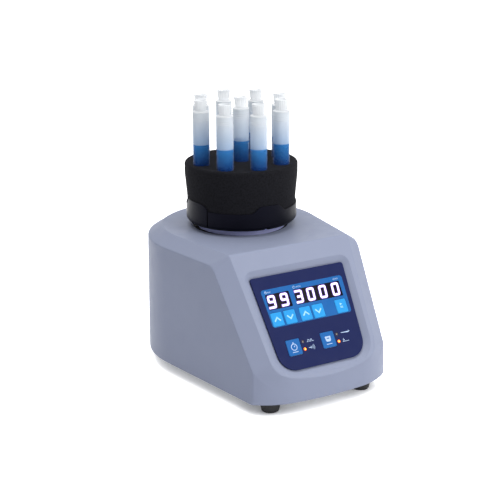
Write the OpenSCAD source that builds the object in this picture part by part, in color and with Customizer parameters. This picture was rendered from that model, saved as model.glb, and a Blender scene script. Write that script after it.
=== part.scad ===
// Vortex mixer with a nine-tube foam head, a sloped membrane panel and an orbiting drive.
// Millimetres, +Z up, the panel faces -Y, origin on the bench under the middle of the footprint.

/* [Housing] */
// Radius of the round back, centred on the motor axis
back_r = 90; // [80:1:110]
// From the front reference line back to the motor axis
axis_depth = 152; // [140:1:184]
// How far each side comes in from the round back's width to the knuckle
knuckle_in = 12.5; // [8:0.5:18]
// From the front reference line back to the knuckle
knuckle_depth = 62; // [54:1:75]
// Height of the top face above the bench
top_z = 136; // [113:1:165]
// Height at which the slope meets the front reference line
skirt_z = 44; // [37:1:53]
// Height of the lower edge above the bench
edge_z = 12; // [10:0.5:15]
// How far the front skirt bows out in the middle
front_bow = 8.5; // [7:0.5:11]
// Where the side faces end, behind the front reference line
corner_depth = 9; // [7:0.5:12]
// Inset of the top and slope from the sides
chamfer_in = 13.2; // [11:0.2:16]
// Drop of the side faces below the top and slope
chamfer_drop = 9.2; // [7.6:0.2:11.2]
// Inset of the slope's lower edge behind the front bow
front_lip = 2; // [1.6:0.1:2.5]
// Rounding of the slope's lower corners
lip_corner_r = 25; // [20:1:30]
// Wall of the housing
wall = 3; // [2.5:0.1:3.6]

/* [Base] */
// Thickness of the base plate
plate_t = 3; // [2.5:0.1:4]
// Set-in of the base plate above the lower edge
plate_in = 1; // [0.5:0.1:2]
// Rebate in the housing's wall that takes the base plate
plate_rebate = 0.5; // [0.4:0.1:0.8]
// Gap between base plate and rebate
plate_gap = 0.4; // [0.3:0.1:0.6]
// Radius of a rubber foot at its top
foot_r = 9.5; // [8:0.1:11.5]
// Sideways place of the feet
foot_x = 49.5; // [42:0.5:55]
// Depth of the front feet behind the front reference line
foot_front = 16; // [14:0.5:19]
// Depth of the rear feet behind the motor axis
foot_rear = 52; // [44:1:54]
// Radius of a housing boss
boss_r = 5.5; // [4.8:0.1:6.5]
// Height of a housing boss
boss_h = 24; // [20:1:28]
// Direction of the rear bosses, from straight back
boss_turn = 50; // [42:1:58]
// Length and width of a vent slot in the base plate
vent = [34, 4]; // [3:0.5:42]

/* [Control panel] */
// From the knuckle down the slope to the overlay's upper edge
overlay_top = 24.5; // [21:0.5:27]
// Length of the overlay down the slope
overlay_len = 89.5; // [80:0.5:92]
// Overlay width along its upper edge
overlay_top_w = 100.8; // [96:0.2:106]
// Overlay width along its lower edge
overlay_low_w = 89.6; // [80:0.2:94]
// Rounding of the overlay's upper corners
overlay_top_r = 2.5; // [2:0.1:4]
// Rounding of the overlay's lower corners
overlay_low_r = 17; // [10:0.5:19]
// Thickness of the printed overlay
overlay_t = 1.4; // [1.1:0.1:1.7]
// Thickness of the circuit sheet under the overlay
circuit_t = 0.4; // [0.3:0.05:0.5]
// Depth of the panel recess
recess_depth = 4; // [3.4:0.1:4.8]
// Width of the recess's bevelled wall
recess_bevel = 7.5; // [6:0.1:8]
// Distance of the digits below the knuckle, along the slope
digit_v = 48.8; // [47:0.1:49.4]
// Height of a digit module
module_h = 19; // [16:0.1:19.6]
// Width of the two-digit module
time_w = 25; // [22:0.1:26]
// Width of the four-digit module
speed_w = 50.3; // [45:0.1:51]
// Sideways place of the two-digit module
time_u = -27.5; // [-29:0.1:-26.5]
// Sideways place of the four-digit module
speed_u = 15; // [14.5:0.1:16]
// Height of a display window
window_h = 14.6; // [12.2:0.1:16]
// Distance of the upper keys below the knuckle
upper_v = 65.4; // [65.2:0.1:68]
// Sideways places of the five upper keys
upper_u = [-34.9, -21.1, -4.6, 9.2, 34.4]; // [-40:0.1:40]
// Width and height of an upper key
upper_key = [11.8, 12.7]; // [10:0.1:13]
// Distance of the lower keys below the knuckle
lower_v = 93.4; // [84:0.1:96]
// Sideways places of the two lower keys
lower_u = [-27, 9.7]; // [-30:0.1:30]
// Width and height of a lower key
lower_key = [14.2, 14.8]; // [12:0.1:17]
// Corner rounding of a key
key_r = 1.2; // [1:0.1:1.5]
// How far the keys stand proud of the overlay
key_proud = 0.25; // [0.2:0.05:0.3]
// Travel of a key
key_travel = 0.4; // [0.3:0.05:0.5]
// Gap round a key
key_gap = 0.2; // [0.15:0.05:0.3]
// Sideways places of the indicator pairs
led_u = [-16.4, 20.3]; // [-40:0.1:40]
// Distances of the indicators below the knuckle
led_v = [90, 97]; // [84:0.1:104]
// Radius of an indicator
led_r = 1.5; // [1.2:0.1:1.8]
// Room between the housing's slope and the control board
board_gap = 5; // [4:0.5:6]
// Width and height of the control board
board = [98, 72]; // [60:0.5:104]
// Thickness of the circuit boards
board_t = 1.6; // [1.2:0.1:2]

/* [Power entry] */
// Depth of the flat pad cut into the round back
pad_cut = 5; // [4.5:0.1:7]
// Height of the power entry's middle above the bench
entry_z = 58; // [54:1:64]
// Width and height of the power entry's flange
entry_flange = [32, 66]; // [30:0.5:70]
// Width and height of the power entry's body
entry_body = [27.2, 48]; // [26:0.1:50]
// Depth of the power entry's body
entry_depth = 20; // [19:0.5:24]
// Thickness of the flange
flange_t = 2.5; // [2:0.1:3]
// Width and height of the appliance socket
socket = [24.6, 16.9]; // [16:0.1:25]
// Depth of the appliance socket
socket_depth = 16; // [14:0.5:17]
// Drop of the socket below the power entry's middle
socket_drop = 13.5; // [13.2:0.1:14]
// Width and height of a contact blade
blade = [2, 4]; // [1.6:0.1:4.8]
// Width and height of the rocker's opening
rocker_hole = [12.4, 18.4]; // [10:0.1:20]
// Rise of the rocker above the power entry's middle
rocker_rise = 11.5; // [11:0.1:12.5]
// Tilt of the rocker to either side
rocker_tilt = 10; // [8:0.5:12]

/* [Drive] */
// Radius of the orbit, half the orbit's diameter
orbit_r = 2.45; // [1.5:0.05:3]
// Radius of the motor shaft
shaft_r = 5; // [4:0.1:6]
// Radius of the crank pin
pin_r = 5; // [4:0.1:6]
// Outer radius and height of the head bearing
bearing = [13, 8]; // [6:0.5:15]
// Radius of the motor
motor_r = 36; // [30:0.5:37]
// Length of the motor
motor_len = 36; // [30:0.5:42]
// Thickness of the motor plate
motor_plate_t = 4; // [3:0.5:5]
// Radius of the motor plate
motor_plate_r = 58; // [55:0.5:62]
// Radius on which the motor posts stand
post_ring = 50; // [48:0.5:53]
// Radius of a motor post
post_r = 5; // [4.5:0.1:6]
// Height of a rubber isolator
isolator_h = 6; // [5:0.5:8]
// Radius and height of the counterweight
counterweight = [30, 9]; // [7:0.5:33]
// Thickness of the guide plate
guide_t = 5; // [4:0.5:6]
// Radius on which the guide pins stand
guide_ring = 30; // [29:0.5:32]
// Radius of a guide pin
guide_r = 3; // [2.5:0.1:3.6]
// Travel of the head when a tube is pressed on it
press_travel = 1.5; // [1:0.1:1.8]
// Height of the touch spring at rest
spring_h = 8; // [7:0.5:9.5]
// Radius of the spring wire
wire_r = 0.5; // [0.4:0.05:0.6]
// Turns of the touch spring
spring_turns = 3.5; // [2.5:0.5:4]

/* [Head] */
// Radius of the platform
platform_r = 42.5; // [40:0.5:46]
// Thickness of the platform
platform_t = 4.6; // [4:0.1:5.5]
// Gap between the platform and the housing's top
platform_gap = 1; // [0.8:0.1:2]
// How far the platform's rim hangs below its underside, into the opening
rim_drop = 2.2; // [1.8:0.1:2.3]
// Thickness of the platform's hanging rim
rim_t = 2.5; // [2:0.1:4]
// Outer radius of the retainer
retainer_r = 53.3; // [52:0.1:64]
// Wall of the retainer
retainer_wall = 1.6; // [1.3:0.1:2]
// Floor of the retainer
retainer_floor = 3.4; // [3:0.1:4]
// Radius of the retainer's underside
bowl_r = 51.2; // [50:0.1:52.4]
// Height of the retainer's bevelled lower edge
bowl_rise = 2.6; // [2:0.1:3.2]
// Height of the retainer's rim
rim_h = 17; // [14:0.5:20]
// Height of the retainer's tabs
tab_h = 23.4; // [21:0.2:28]
// Half the angle that a tab covers
tab_half = 15; // [12:1:18]
// Radius of the foam at its top
foam_r = 54.4; // [53.4:0.2:65]
// Height of the foam
foam_h = 53.4; // [50:0.2:64]
// Least foam outside a tube's hole
foam_web = 2.45; // [2:0.05:3]
// Turn of the tube ring about the head's axis
ring_turn = -6.4; // [-22:0.1:22]

/* [Tubes] */
// Outer radius of a tube
tube_r = 7.9; // [6.5:0.1:9.5]
// Wall of a tube
tube_wall = 1; // [0.8:0.1:1.2]
// Length of a tube
tube_len = 98; // [82:1:118]
// How deep a tube stands in the foam
tube_depth = 47; // [39:0.5:48]
// Gap round a tube in the foam
tube_gap = 0.15; // [0.1:0.05:0.3]
// How far a cap's flange stands out past the tube
cap_lip = 0.7; // [0.5:0.1:1]
// Height of a cap's flange
cap_flange_h = 2; // [1.6:0.1:2.5]
// Radius of a cap's grip
cap_grip_r = 6; // [5:0.1:7]
// Height of a cap's grip
cap_grip_h = 8.4; // [7:0.1:10]
// Depth of a cap's plug
cap_plug_h = 8; // [6:0.1:10]

/* [Hidden] */
UPPER_KEYS = ["key_time_up", "key_time_down", "key_speed_up", "key_speed_down", "key_start_stop"];
LOWER_KEYS = ["key_timer", "key_mode"];
TUBES = [for (i = [1:9]) str("tube_", i)];
CAPS = [for (i = [1:9]) str("cap_", i)];
$fn = 64;

// Fits
over = 1;
snug = 0.02;
run_gap = 0.05;
seat_gap = 0.3;
m4_r = 2;
m4_head = [3.6, 2.4];
m3_r = 1.5;
m3_head = [2.8, 1.8];
thread_gap = 0.05;
hole_gap = 0.2;
m4_bite = 8;
m3_bite = 5;
edge_break = 1;
film = 0.01;

// Housing lines
front_y = -(axis_depth + back_r - front_bow) / 2;
axis_y = front_y + axis_depth;
head_y = axis_y - orbit_r;
knuckle_y = front_y + knuckle_depth;
slope_a = atan2(top_z - skirt_z, knuckle_depth);
knuckle_w = 2 * (back_r - knuckle_in);
knuckle_run = axis_depth - knuckle_depth;
knuckle_far = norm([knuckle_w / 2, knuckle_run]);
taper_a = 90 - atan2(knuckle_run, -knuckle_w / 2) + asin(back_r / knuckle_far);
corner_half = side_x(front_y + corner_depth, 0);
corner_sag = corner_depth + front_bow;
front_r = (corner_half * corner_half + corner_sag * corner_sag) / (2 * corner_sag);
low_z = -top_z;
slope_in = recess_depth + wall;

// Base levels
plate_low = edge_z + plate_in;
plate_top = plate_low + plate_t;
foot_bore = [m4_head[0] + 2 * seat_gap, 5];
boss_front = 22;
boss_front_y = front_y + boss_front;
boss_ring = back_r - wall - boss_r + over;
boss_places = concat(
    [for (s = [-1, 1]) [s * (side_x(boss_front_y, wall) - boss_r + over), boss_front_y]],
    [for (s = [-1, 1]) [s * sin(boss_turn), cos(boss_turn)] * boss_ring + [0, axis_y]]
);
foot_places = [
    for (s = [-1, 1], y = [front_y + foot_front, axis_y + foot_rear]) [s * foot_x, y]
];
vent_r = vent[1] / 2 - 0.1;
vent_pitch = 3 * vent[1];
post_places = [for (a = [45:90:315]) [cos(a), sin(a)] * post_ring + [0, axis_y]];

// Panel levels, measured out of the slope's face
floor_w = -recess_depth;
overlay_w = floor_w + circuit_t;
face_w = overlay_w + overlay_t;
lens_t = 1.2;
module_set = 0.1;
module_face_w = overlay_w - module_set;
board_w = -slope_in - board_gap;
board_v = 71;
board_edge = 4.5;
board_screw = board / 2 - [1, 1] * board_edge;
board_boss_r = 3.5;
board_corner_r = 2;
module_r = 0.6;
circuit_in = 0.5;
recess_over = 0.5;
led_dome = [0.4, 0.7];

// Power board
supply = [84, 44];
supply_depth = 60;
supply_y = front_y + supply_depth;
supply_lift = 8;
supply_z = plate_top + supply_lift;
supply_edge = 4;
supply_screw = supply / 2 - [1, 1] * supply_edge;
stud_r = 3;
coil = [30, 26, 20];
coil_x = -18;
capacitor = [7, 24];
capacitor_place = [14, 9];
heat_sink = [4, 28, 18];
heat_sink_x = 24;
solder = 0.2;

// Power entry levels
pad_y = axis_y + back_r - pad_cut;
pad_edge = 0.5;
pad_half = sqrt(back_r * back_r - (back_r - pad_cut) * (back_r - pad_cut)) - pad_edge;
pad_margin = 3;
pad_h = entry_flange[1] + 2 * pad_margin;
entry_corner_r = 4;
entry_screw = entry_flange[1] / 2 - entry_corner_r;
socket_chamfer = 4.5;
socket_floor = flange_t - socket_depth;
blade_set = 3.5;
blade_tip = flange_t - blade_set;
blade_tail = 5;
blade_end = -entry_depth - blade_tail;
blade_places = [[-7, -2], [7, -2], [0, 2]];
rocker_gap = 0.3;
rocker_arc = rocker_hole[1] / 2 - rocker_gap;
rocker_pivot = 0.5;
rocker_rise_h = 2.5;
rocker_low = 4;
trunnion_r = 1.5;
trunnion_l = 1.4;

// Drive levels, from the top down
platform_low = top_z + platform_gap;
platform_top = platform_low + platform_t;
hub_roof = 6;
ceiling_z = platform_low - hub_roof;
bearing_top = ceiling_z - spring_h;
bearing_low = bearing_top - bearing[1];
clip_t = 0.9;
clip_gap = 0.15;
clip_lap = 1.2;
clip_in = bearing[0] - clip_lap;
clip_bite = 0.85;
clip_out = bearing[0] + clip_bite;
cup_skirt = 0.75;
hub_low = bearing_low - clip_t - clip_gap - cup_skirt;
cup_wall = 5;
cup_r = bearing[0] + cup_wall;
pin_edge = 3;
hub_flange_r = guide_ring + guide_r + pin_edge;
hub_flange_t = 4;
hub_flange_rise = 1;
hub_flange_z = bearing_low + hub_flange_rise;
hub_step = 2;
hub_top_r = cup_r + hub_step;
guide_gap = 8;
guide_top = hub_flange_z - guide_gap;
guide_low = guide_top - guide_t;
guide_hole = guide_r + orbit_r + seat_gap;
crank_gap = 0.7;
crank_top = hub_low - press_travel - crank_gap;
crank_wall = 2.5;
crank_neck_r = max(shaft_r, pin_r + orbit_r) + crank_wall;
crank_hub_wall = 7;
crank_hub_r = shaft_r + crank_hub_wall;
guide_hub_gap = 2;
guide_hub_hole = max(crank_neck_r, crank_hub_r) + guide_hub_gap;
collar_step = 2;
collar_r = pin_r + collar_step;
weight_gap = 2;
weight_top = guide_low - weight_gap;
weight_low = weight_top - counterweight[1];
weight_in = shaft_r + collar_step;
crank_tail = 4;
crank_low = weight_low - crank_tail;
crank_lift = 4;
motor_plate_top = crank_low - crank_lift;
motor_top = motor_plate_top - motor_plate_t;
motor_low = motor_top - motor_len;
shaft_bite = 15;
shaft_top = crank_low + shaft_bite;
shaft_set = 0.5;
shaft_low = motor_low + shaft_set;
leg_clear = 7;
leg_r = 4;
leg_ring = counterweight[0] + leg_clear + leg_r;
leg_edge = 1;
guide_plate_r = leg_ring + leg_r + leg_edge;
end_wall = 6;
motor_bearing_wall = 6;
motor_bearing_r = shaft_r + motor_bearing_wall;
rotor_gap = 0.6;
stator_t = 11.6;
stator_r = motor_r - stator_t;
motor_screw_in = 3;
motor_screw_ring = stator_r - motor_screw_in;
motor_screw_angles = [0, 90, 180, 270];
post_top = motor_top - isolator_h;
isolator_r = 8;
post_screw = isolator_h + motor_plate_t + m4_bite;
switch_size = [13, 6.5, guide_gap - press_travel - seat_gap];
guide_angles = [90, 210, 330];
leg_angles = [30, 150, 270];
switch_angle = 30;

// Top opening and boot
opening_gap = 1.05;
opening_r = platform_r + orbit_r + opening_gap;
boot_lap = 5;
boot_r = opening_r + boot_lap;
boot_gap = 0.9;
boot_lip = hub_top_r + orbit_r + boot_gap;
boot_t = 1.5;
boot_drop = 5.5;
boot_fold = 8;

// Head levels
retainer_in = retainer_r - retainer_wall;
foam_low_r = retainer_in - seat_gap;
foam_low = platform_top + retainer_floor;
foam_top = foam_low + foam_h;
rim_z = platform_top + rim_h;
tab_z = platform_top + tab_h;
hole_r = tube_r + tube_gap;
ring_r = foam_low_r - foam_web - hole_r;
tube_low = foam_top - tube_depth;
tube_top = tube_low + tube_len;
head_bore_h = m4_head[1] + 0.1;
head_screw_in = 5;
platform_screw_ring = hub_top_r - head_screw_in;
retainer_screw_ring = 32;
platform_screw_angles = [30, 150, 270];
retainer_screw_angles = [45, 135, 225, 315];
tube_places = concat(
    [for (i = [0:7]) [cos(45 * i + ring_turn), sin(45 * i + ring_turn)] * ring_r],
    [[0, 0]]
);

// Half width of the straight side at depth y, inset by a wall
function side_x(y, inset) =
    (back_r - inset) * cos(taper_a) - (axis_y - (back_r - inset) * sin(taper_a) - y) * tan(taper_a);

// Outline of the housing seen from above: a round back, tapered sides and a bowed front
module plan(side_in, front_in) {
    back_edge = axis_y - (back_r - side_in) * sin(taper_a);
    front_end = front_y - front_bow - 20;
    wide = side_x(back_edge, side_in);
    narrow = side_x(front_end, side_in);
    intersection() {
        union() {
            translate([0, axis_y]) circle(r = back_r - side_in);
            polygon([[wide, back_edge], [narrow, front_end], [-narrow, front_end], [-wide, back_edge]]);
        }
        translate([0, front_y - front_bow + front_r]) {
            circle(r = front_r - front_in);
            translate([-2 * back_r, 0]) square([4 * back_r, 4 * back_r]);
        }
    }
}

// Outline of the base plate's rebate, drawn in by a gap
module plate_outline(gap) {
    inset = wall - plate_rebate + gap;
    hull() plan(inset, inset);
}

// Outline of the top and slope, with softened front corners
module top_plan(side_in, front_in) {
    offset(r = lip_corner_r) offset(delta = -lip_corner_r)
        plan(side_in + chamfer_in, front_in + front_lip);
}

// Side view under the top and the slope, drawn right across the housing
module side_profile(top_in, slope_inset) {
    back_end = axis_y + 2 * back_r;
    bend_y = knuckle_y + (slope_inset - top_in * cos(slope_a)) / sin(slope_a);
    foot_y = knuckle_y + (slope_inset + (low_z - top_z) * cos(slope_a)) / sin(slope_a);
    rotate([90, 0, 90]) linear_extrude(height = 4 * back_r, center = true)
        polygon([[back_end, low_z], [back_end, top_z - top_in], [bend_y, top_z - top_in], [foot_y, low_z]]);
}

// Solid block of the housing, with one facet between the sides and the top
module housing_block(side_in, top_in, slope_inset, bottom_z) {
    hull() {
        intersection() {
            translate([0, 0, bottom_z]) linear_extrude(height = top_z) plan(side_in, side_in);
            side_profile(top_in + chamfer_drop, slope_inset + chamfer_drop);
        }
        intersection() {
            translate([0, 0, bottom_z]) linear_extrude(height = top_z) top_plan(side_in, side_in);
            side_profile(top_in, slope_inset);
        }
    }
}

// Places children on the slope: x across, y up the slope from the knuckle, z out of its face
module on_slope() {
    translate([0, knuckle_y, top_z]) rotate([slope_a, 0, 0]) children();
}

// Places children on the rear pad: y up, z out of the back
module on_pad() {
    translate([0, pad_y, entry_z]) rotate([90, 0, 180]) children();
}

module at_axis() {
    translate([0, axis_y, 0]) children();
}

module at_head() {
    translate([0, head_y, 0]) children();
}

module at_angles(angles, radius) {
    for (a = angles) translate([radius * cos(a), radius * sin(a), 0]) children();
}

module tube_of(outer, inner, low, high) {
    translate([0, 0, low]) difference() {
        cylinder(r = outer, h = high - low);
        translate([0, 0, -over]) cylinder(r = inner, h = high - low + 2 * over);
    }
}

module rounded_rect(size, r) {
    square([size[0] - 2 * r, size[1]], center = true);
    square([size[0], size[1] - 2 * r], center = true);
    for (x = [-1, 1], y = [-1, 1])
        translate([x * (size[0] / 2 - r), y * (size[1] / 2 - r)]) circle(r = r, $fn = 32);
}

// Pan head screw with its head above z = 0 and its shank below
module screw(r, head, length) {
    difference() {
        union() {
            cylinder(r = head[0], h = head[1]);
            translate([0, 0, -length]) cylinder(r = r, h = length + over / 2);
        }
        translate([0, 0, head[1] / 2]) cylinder(r = 0.7 * r, h = head[1], $fn = 6);
    }
}

// Outline of the overlay, grown by a margin
module overlay_outline(grow) {
    top_r = overlay_top_r + grow;
    low_r = overlay_low_r + grow;
    hull() {
        for (s = [-1, 1]) {
            translate([s * (overlay_top_w / 2 + grow - top_r), grow - top_r - overlay_top])
                circle(r = top_r, $fn = 32);
            translate([s * (overlay_low_w / 2 + grow - low_r), low_r - grow - overlay_top - overlay_len])
                circle(r = low_r, $fn = 32);
        }
    }
}

module display_places() {
    translate([time_u, -digit_v, 0]) children(0);
    translate([speed_u, -digit_v, 0]) children(1);
}

module led_places() {
    for (u = led_u, v = led_v) translate([u, -v, 0]) children();
}

module upper_housing() {
    opening = module_h + 2 * seat_gap;
    color([0.62, 0.65, 0.74]) difference() {
        union() {
            difference() {
                housing_block(0, 0, 0, edge_z);
                housing_block(wall, wall, slope_in, edge_z - over);
            }
            on_pad() translate([0, 0, -wall / 2]) cube([2 * pad_half, pad_h, wall], center = true);
            for (p = boss_places) translate([p[0], p[1], plate_top]) cylinder(r = boss_r, h = boss_h);
            on_slope() translate([0, -board_v, board_w])
                for (x = [-1, 1], y = [-1, 1])
                    translate([x * board_screw[0], y * board_screw[1], 0])
                        cylinder(r = board_boss_r, h = board_gap + over);
        }
        on_pad() {
            translate([0, 0, back_r / 2]) cube([4 * pad_half, pad_h, back_r], center = true);
            cube([entry_body[0] + 2 * seat_gap, entry_body[1] + 2 * seat_gap, 4 * wall], center = true);
            for (s = [-1, 1]) translate([0, s * entry_screw, -2 * wall])
                cylinder(r = m3_r + thread_gap, h = 4 * wall);
        }
        on_slope() {
            hull() {
                translate([0, 0, floor_w]) linear_extrude(height = film) overlay_outline(hole_gap);
                translate([0, 0, recess_over]) linear_extrude(height = over)
                    overlay_outline(recess_bevel);
            }
            translate([0, 0, floor_w - wall - over]) display_places() {
                linear_extrude(height = 2 * wall) square([time_w + 2 * seat_gap, opening], center = true);
                linear_extrude(height = 2 * wall) square([speed_w + 2 * seat_gap, opening], center = true);
            }
            led_places() translate([0, 0, floor_w - wall - over])
                cylinder(r = led_r + hole_gap, h = 2 * wall);
            translate([0, -board_v, board_w - over])
                for (x = [-1, 1], y = [-1, 1])
                    translate([x * board_screw[0], y * board_screw[1], 0])
                        cylinder(r = m3_r + thread_gap, h = board_gap + over);
        }
        at_axis() translate([0, 0, top_z - 2 * wall]) cylinder(r = opening_r, h = 4 * wall);
        translate([0, 0, edge_z - over]) linear_extrude(height = plate_top - edge_z + over)
            plate_outline(0);
        for (p = boss_places) translate([p[0], p[1], plate_top - over])
            cylinder(r = m4_r + thread_gap, h = boss_h / 2 + over);
    }
}

module base_plate() {
    color([0.55, 0.57, 0.6]) difference() {
        union() {
            translate([0, 0, plate_low]) linear_extrude(height = plate_t) plate_outline(plate_gap);
            supply_places(plate_top - over) cylinder(r = stud_r, h = supply_lift + over);
        }
        for (p = concat(boss_places, post_places)) translate([p[0], p[1], plate_low - over])
            cylinder(r = m4_r + hole_gap, h = plate_t + 2 * over);
        for (p = foot_places) translate([p[0], p[1], plate_low - over])
            cylinder(r = m4_r + thread_gap, h = plate_t + 2 * over);
        supply_places(supply_z - m3_bite - over) cylinder(r = m3_r + thread_gap, h = m3_bite + 2 * over);
        at_axis() for (i = [-2:2]) translate([0, i * vent_pitch, plate_low - over])
            linear_extrude(height = plate_t + 2 * over) rounded_rect(vent, vent_r);
    }
}

module supply_places(z) {
    for (x = [-1, 1], y = [-1, 1])
        translate([x * supply_screw[0], supply_y + y * supply_screw[1], z]) children();
}

module rubber_feet() {
    low_r = foot_r - edge_break;
    color([0.08, 0.08, 0.09]) for (p = foot_places) translate([p[0], p[1], 0])
        rotate_extrude() polygon([
            [foot_bore[0], 0], [low_r - edge_break, 0], [low_r, edge_break], [foot_r, plate_low],
            [m4_r + hole_gap, plate_low], [m4_r + hole_gap, foot_bore[1]], [foot_bore[0], foot_bore[1]]
        ]);
}

module m4_screws() {
    color([0.7, 0.71, 0.74]) {
        for (p = boss_places) translate([p[0], p[1], plate_low]) mirror([0, 0, 1])
            screw(m4_r, m4_head, plate_t + boss_h / 3);
        for (p = foot_places) translate([p[0], p[1], foot_bore[1]]) mirror([0, 0, 1])
            screw(m4_r, m4_head, plate_top - foot_bore[1]);
        for (p = post_places) {
            translate([p[0], p[1], plate_low]) mirror([0, 0, 1])
                screw(m4_r, m4_head, plate_t + m4_bite);
            translate([p[0], p[1], motor_plate_top]) screw(m4_r, m4_head, post_screw);
        }
        at_axis() at_angles(motor_screw_angles, motor_screw_ring) translate([0, 0, motor_plate_top])
            screw(m4_r, m4_head, motor_plate_t + end_wall - over);
        at_axis() at_angles(leg_angles, leg_ring) translate([0, 0, motor_top]) mirror([0, 0, 1])
            screw(m4_r, m4_head, motor_plate_t + m4_bite);
    }
}

module m3_screws() {
    color([0.7, 0.71, 0.74]) {
        on_slope() translate([0, -board_v, board_w - board_t])
            for (x = [-1, 1], y = [-1, 1])
                translate([x * board_screw[0], y * board_screw[1], 0]) mirror([0, 0, 1])
                    screw(m3_r, m3_head, board_t + board_gap - over);
        supply_places(supply_z + board_t) screw(m3_r, m3_head, board_t + m3_bite);
        on_pad() for (s = [-1, 1]) translate([0, s * entry_screw, flange_t])
            screw(m3_r, m3_head, flange_t + wall);
    }
}

module control_overlay() {
    color([0.13, 0.15, 0.36]) on_slope() translate([0, 0, overlay_w]) difference() {
        linear_extrude(height = overlay_t) overlay_outline(0);
        translate([0, 0, -over]) linear_extrude(height = overlay_t + 2 * over) {
            translate([time_u, -digit_v]) rounded_rect([time_w, window_h], module_r);
            translate([speed_u, -digit_v]) rounded_rect([speed_w, window_h], module_r);
            for (u = upper_u) translate([u, -upper_v])
                rounded_rect(upper_key + [1, 1] * 2 * key_gap, key_r + key_gap);
            for (u = lower_u) translate([u, -lower_v])
                rounded_rect(lower_key + [1, 1] * 2 * key_gap, key_r + key_gap);
        }
        led_places() translate([0, 0, -over]) cylinder(r = led_r + thread_gap, h = overlay_t + 2 * over);
    }
}

module membrane_circuit() {
    opening = module_h + 2 * seat_gap;
    color([0.75, 0.77, 0.72]) on_slope() translate([0, 0, floor_w]) difference() {
        linear_extrude(height = circuit_t) overlay_outline(-circuit_in);
        translate([0, 0, -over]) {
            linear_extrude(height = circuit_t + 2 * over) display_places() {
                square([time_w + 2 * seat_gap, opening], center = true);
                square([speed_w + 2 * seat_gap, opening], center = true);
            }
            led_places() cylinder(r = led_r + hole_gap, h = circuit_t + 2 * over);
        }
    }
}

module display_lenses() {
    color([0.05, 0.05, 0.07]) on_slope() translate([0, 0, face_w - lens_t]) display_places() {
        linear_extrude(height = lens_t) rounded_rect([time_w, window_h] - [1, 1] * 2 * run_gap, module_r);
        linear_extrude(height = lens_t) rounded_rect([speed_w, window_h] - [1, 1] * 2 * run_gap, module_r);
    }
}

// Digit module with its body on the control board and its face behind the lens
module digit_module(u, width) {
    on_slope() translate([u, -digit_v, board_w]) linear_extrude(height = module_face_w - board_w)
        rounded_rect([width, module_h], module_r);
}

module time_display() {
    color([0.1, 0.1, 0.12]) digit_module(time_u, time_w);
}

module speed_display() {
    color([0.1, 0.1, 0.12]) digit_module(speed_u, speed_w);
}

module indicator_leds() {
    stem = face_w - board_w - led_dome[0];
    color([0.95, 0.5, 0.12]) on_slope() led_places() translate([0, 0, board_w]) {
        cylinder(r = led_r, h = stem);
        translate([0, 0, stem]) cylinder(r1 = led_r, r2 = led_r * led_dome[1], h = led_dome[0]);
    }
}

// Raised key pad that floats over the circuit sheet by its travel
module key_pad(u, v, size) {
    color([0.19, 0.6, 0.9]) on_slope() translate([u, -v, overlay_w + key_travel])
        linear_extrude(height = overlay_t - key_travel + key_proud) rounded_rect(size, key_r);
}

module control_board() {
    color([0.1, 0.35, 0.2]) on_slope() translate([0, -board_v, board_w - board_t]) difference() {
        linear_extrude(height = board_t) rounded_rect(board, board_corner_r);
        for (x = [-1, 1], y = [-1, 1])
            translate([x * board_screw[0], y * board_screw[1], -over])
                cylinder(r = m3_r + hole_gap, h = board_t + 2 * over);
    }
}

module power_board() {
    color([0.12, 0.3, 0.18]) difference() {
        translate([0, supply_y, supply_z]) {
            linear_extrude(height = board_t) rounded_rect(supply, board_corner_r);
            translate([0, 0, board_t - solder]) {
                translate([coil_x - coil[0] / 2, -coil[1] / 2, 0]) cube(coil);
                for (y = [-1, 1]) translate([capacitor_place[0], y * capacitor_place[1], 0])
                    cylinder(r = capacitor[0], h = capacitor[1]);
                translate([heat_sink_x, -heat_sink[1] / 2, 0]) cube(heat_sink);
            }
        }
        supply_places(supply_z - over) cylinder(r = m3_r + hole_gap, h = board_t + 2 * over);
    }
}

module socket_outline() {
    x = socket[0] / 2;
    y = socket[1] / 2;
    polygon([
        [-x, -y], [x, -y], [x, y - socket_chamfer], [x - socket_chamfer, y],
        [socket_chamfer - x, y], [-x, y - socket_chamfer]
    ]);
}

module rocker_place() {
    translate([0, rocker_rise, rocker_pivot]) rotate([0, 90, 0]) children();
}

module power_inlet() {
    pocket = rocker_arc + rocker_gap;
    color([0.09, 0.09, 0.1]) on_pad() difference() {
        union() {
            linear_extrude(height = flange_t) rounded_rect(entry_flange, entry_corner_r);
            translate([0, 0, -entry_depth]) linear_extrude(height = entry_depth + run_gap)
                square(entry_body, center = true);
        }
        translate([0, -socket_drop, socket_floor]) linear_extrude(height = socket_depth + over)
            socket_outline();
        for (p = blade_places) translate([p[0], p[1] - socket_drop, -entry_depth / 2])
            cube([blade[0] + 2 * snug, blade[1] + 2 * snug, 2 * entry_depth], center = true);
        translate([0, rocker_rise, rocker_pivot - pocket]) linear_extrude(height = 3 * pocket)
            square(rocker_hole, center = true);
        rocker_place() cylinder(
            r = trunnion_r + run_gap, h = rocker_hole[0] + 2 * (trunnion_l + hole_gap), center = true);
        for (s = [-1, 1]) translate([0, s * entry_screw, -over])
            cylinder(r = m3_r + hole_gap, h = flange_t + 2 * over);
    }
}

module inlet_pins() {
    color([0.78, 0.74, 0.6]) on_pad() for (p = blade_places)
        translate([p[0] - blade[0] / 2, p[1] - blade[1] / 2 - socket_drop, blade_end])
            linear_extrude(height = blade_tip - blade_end) square(blade);
}

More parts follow.
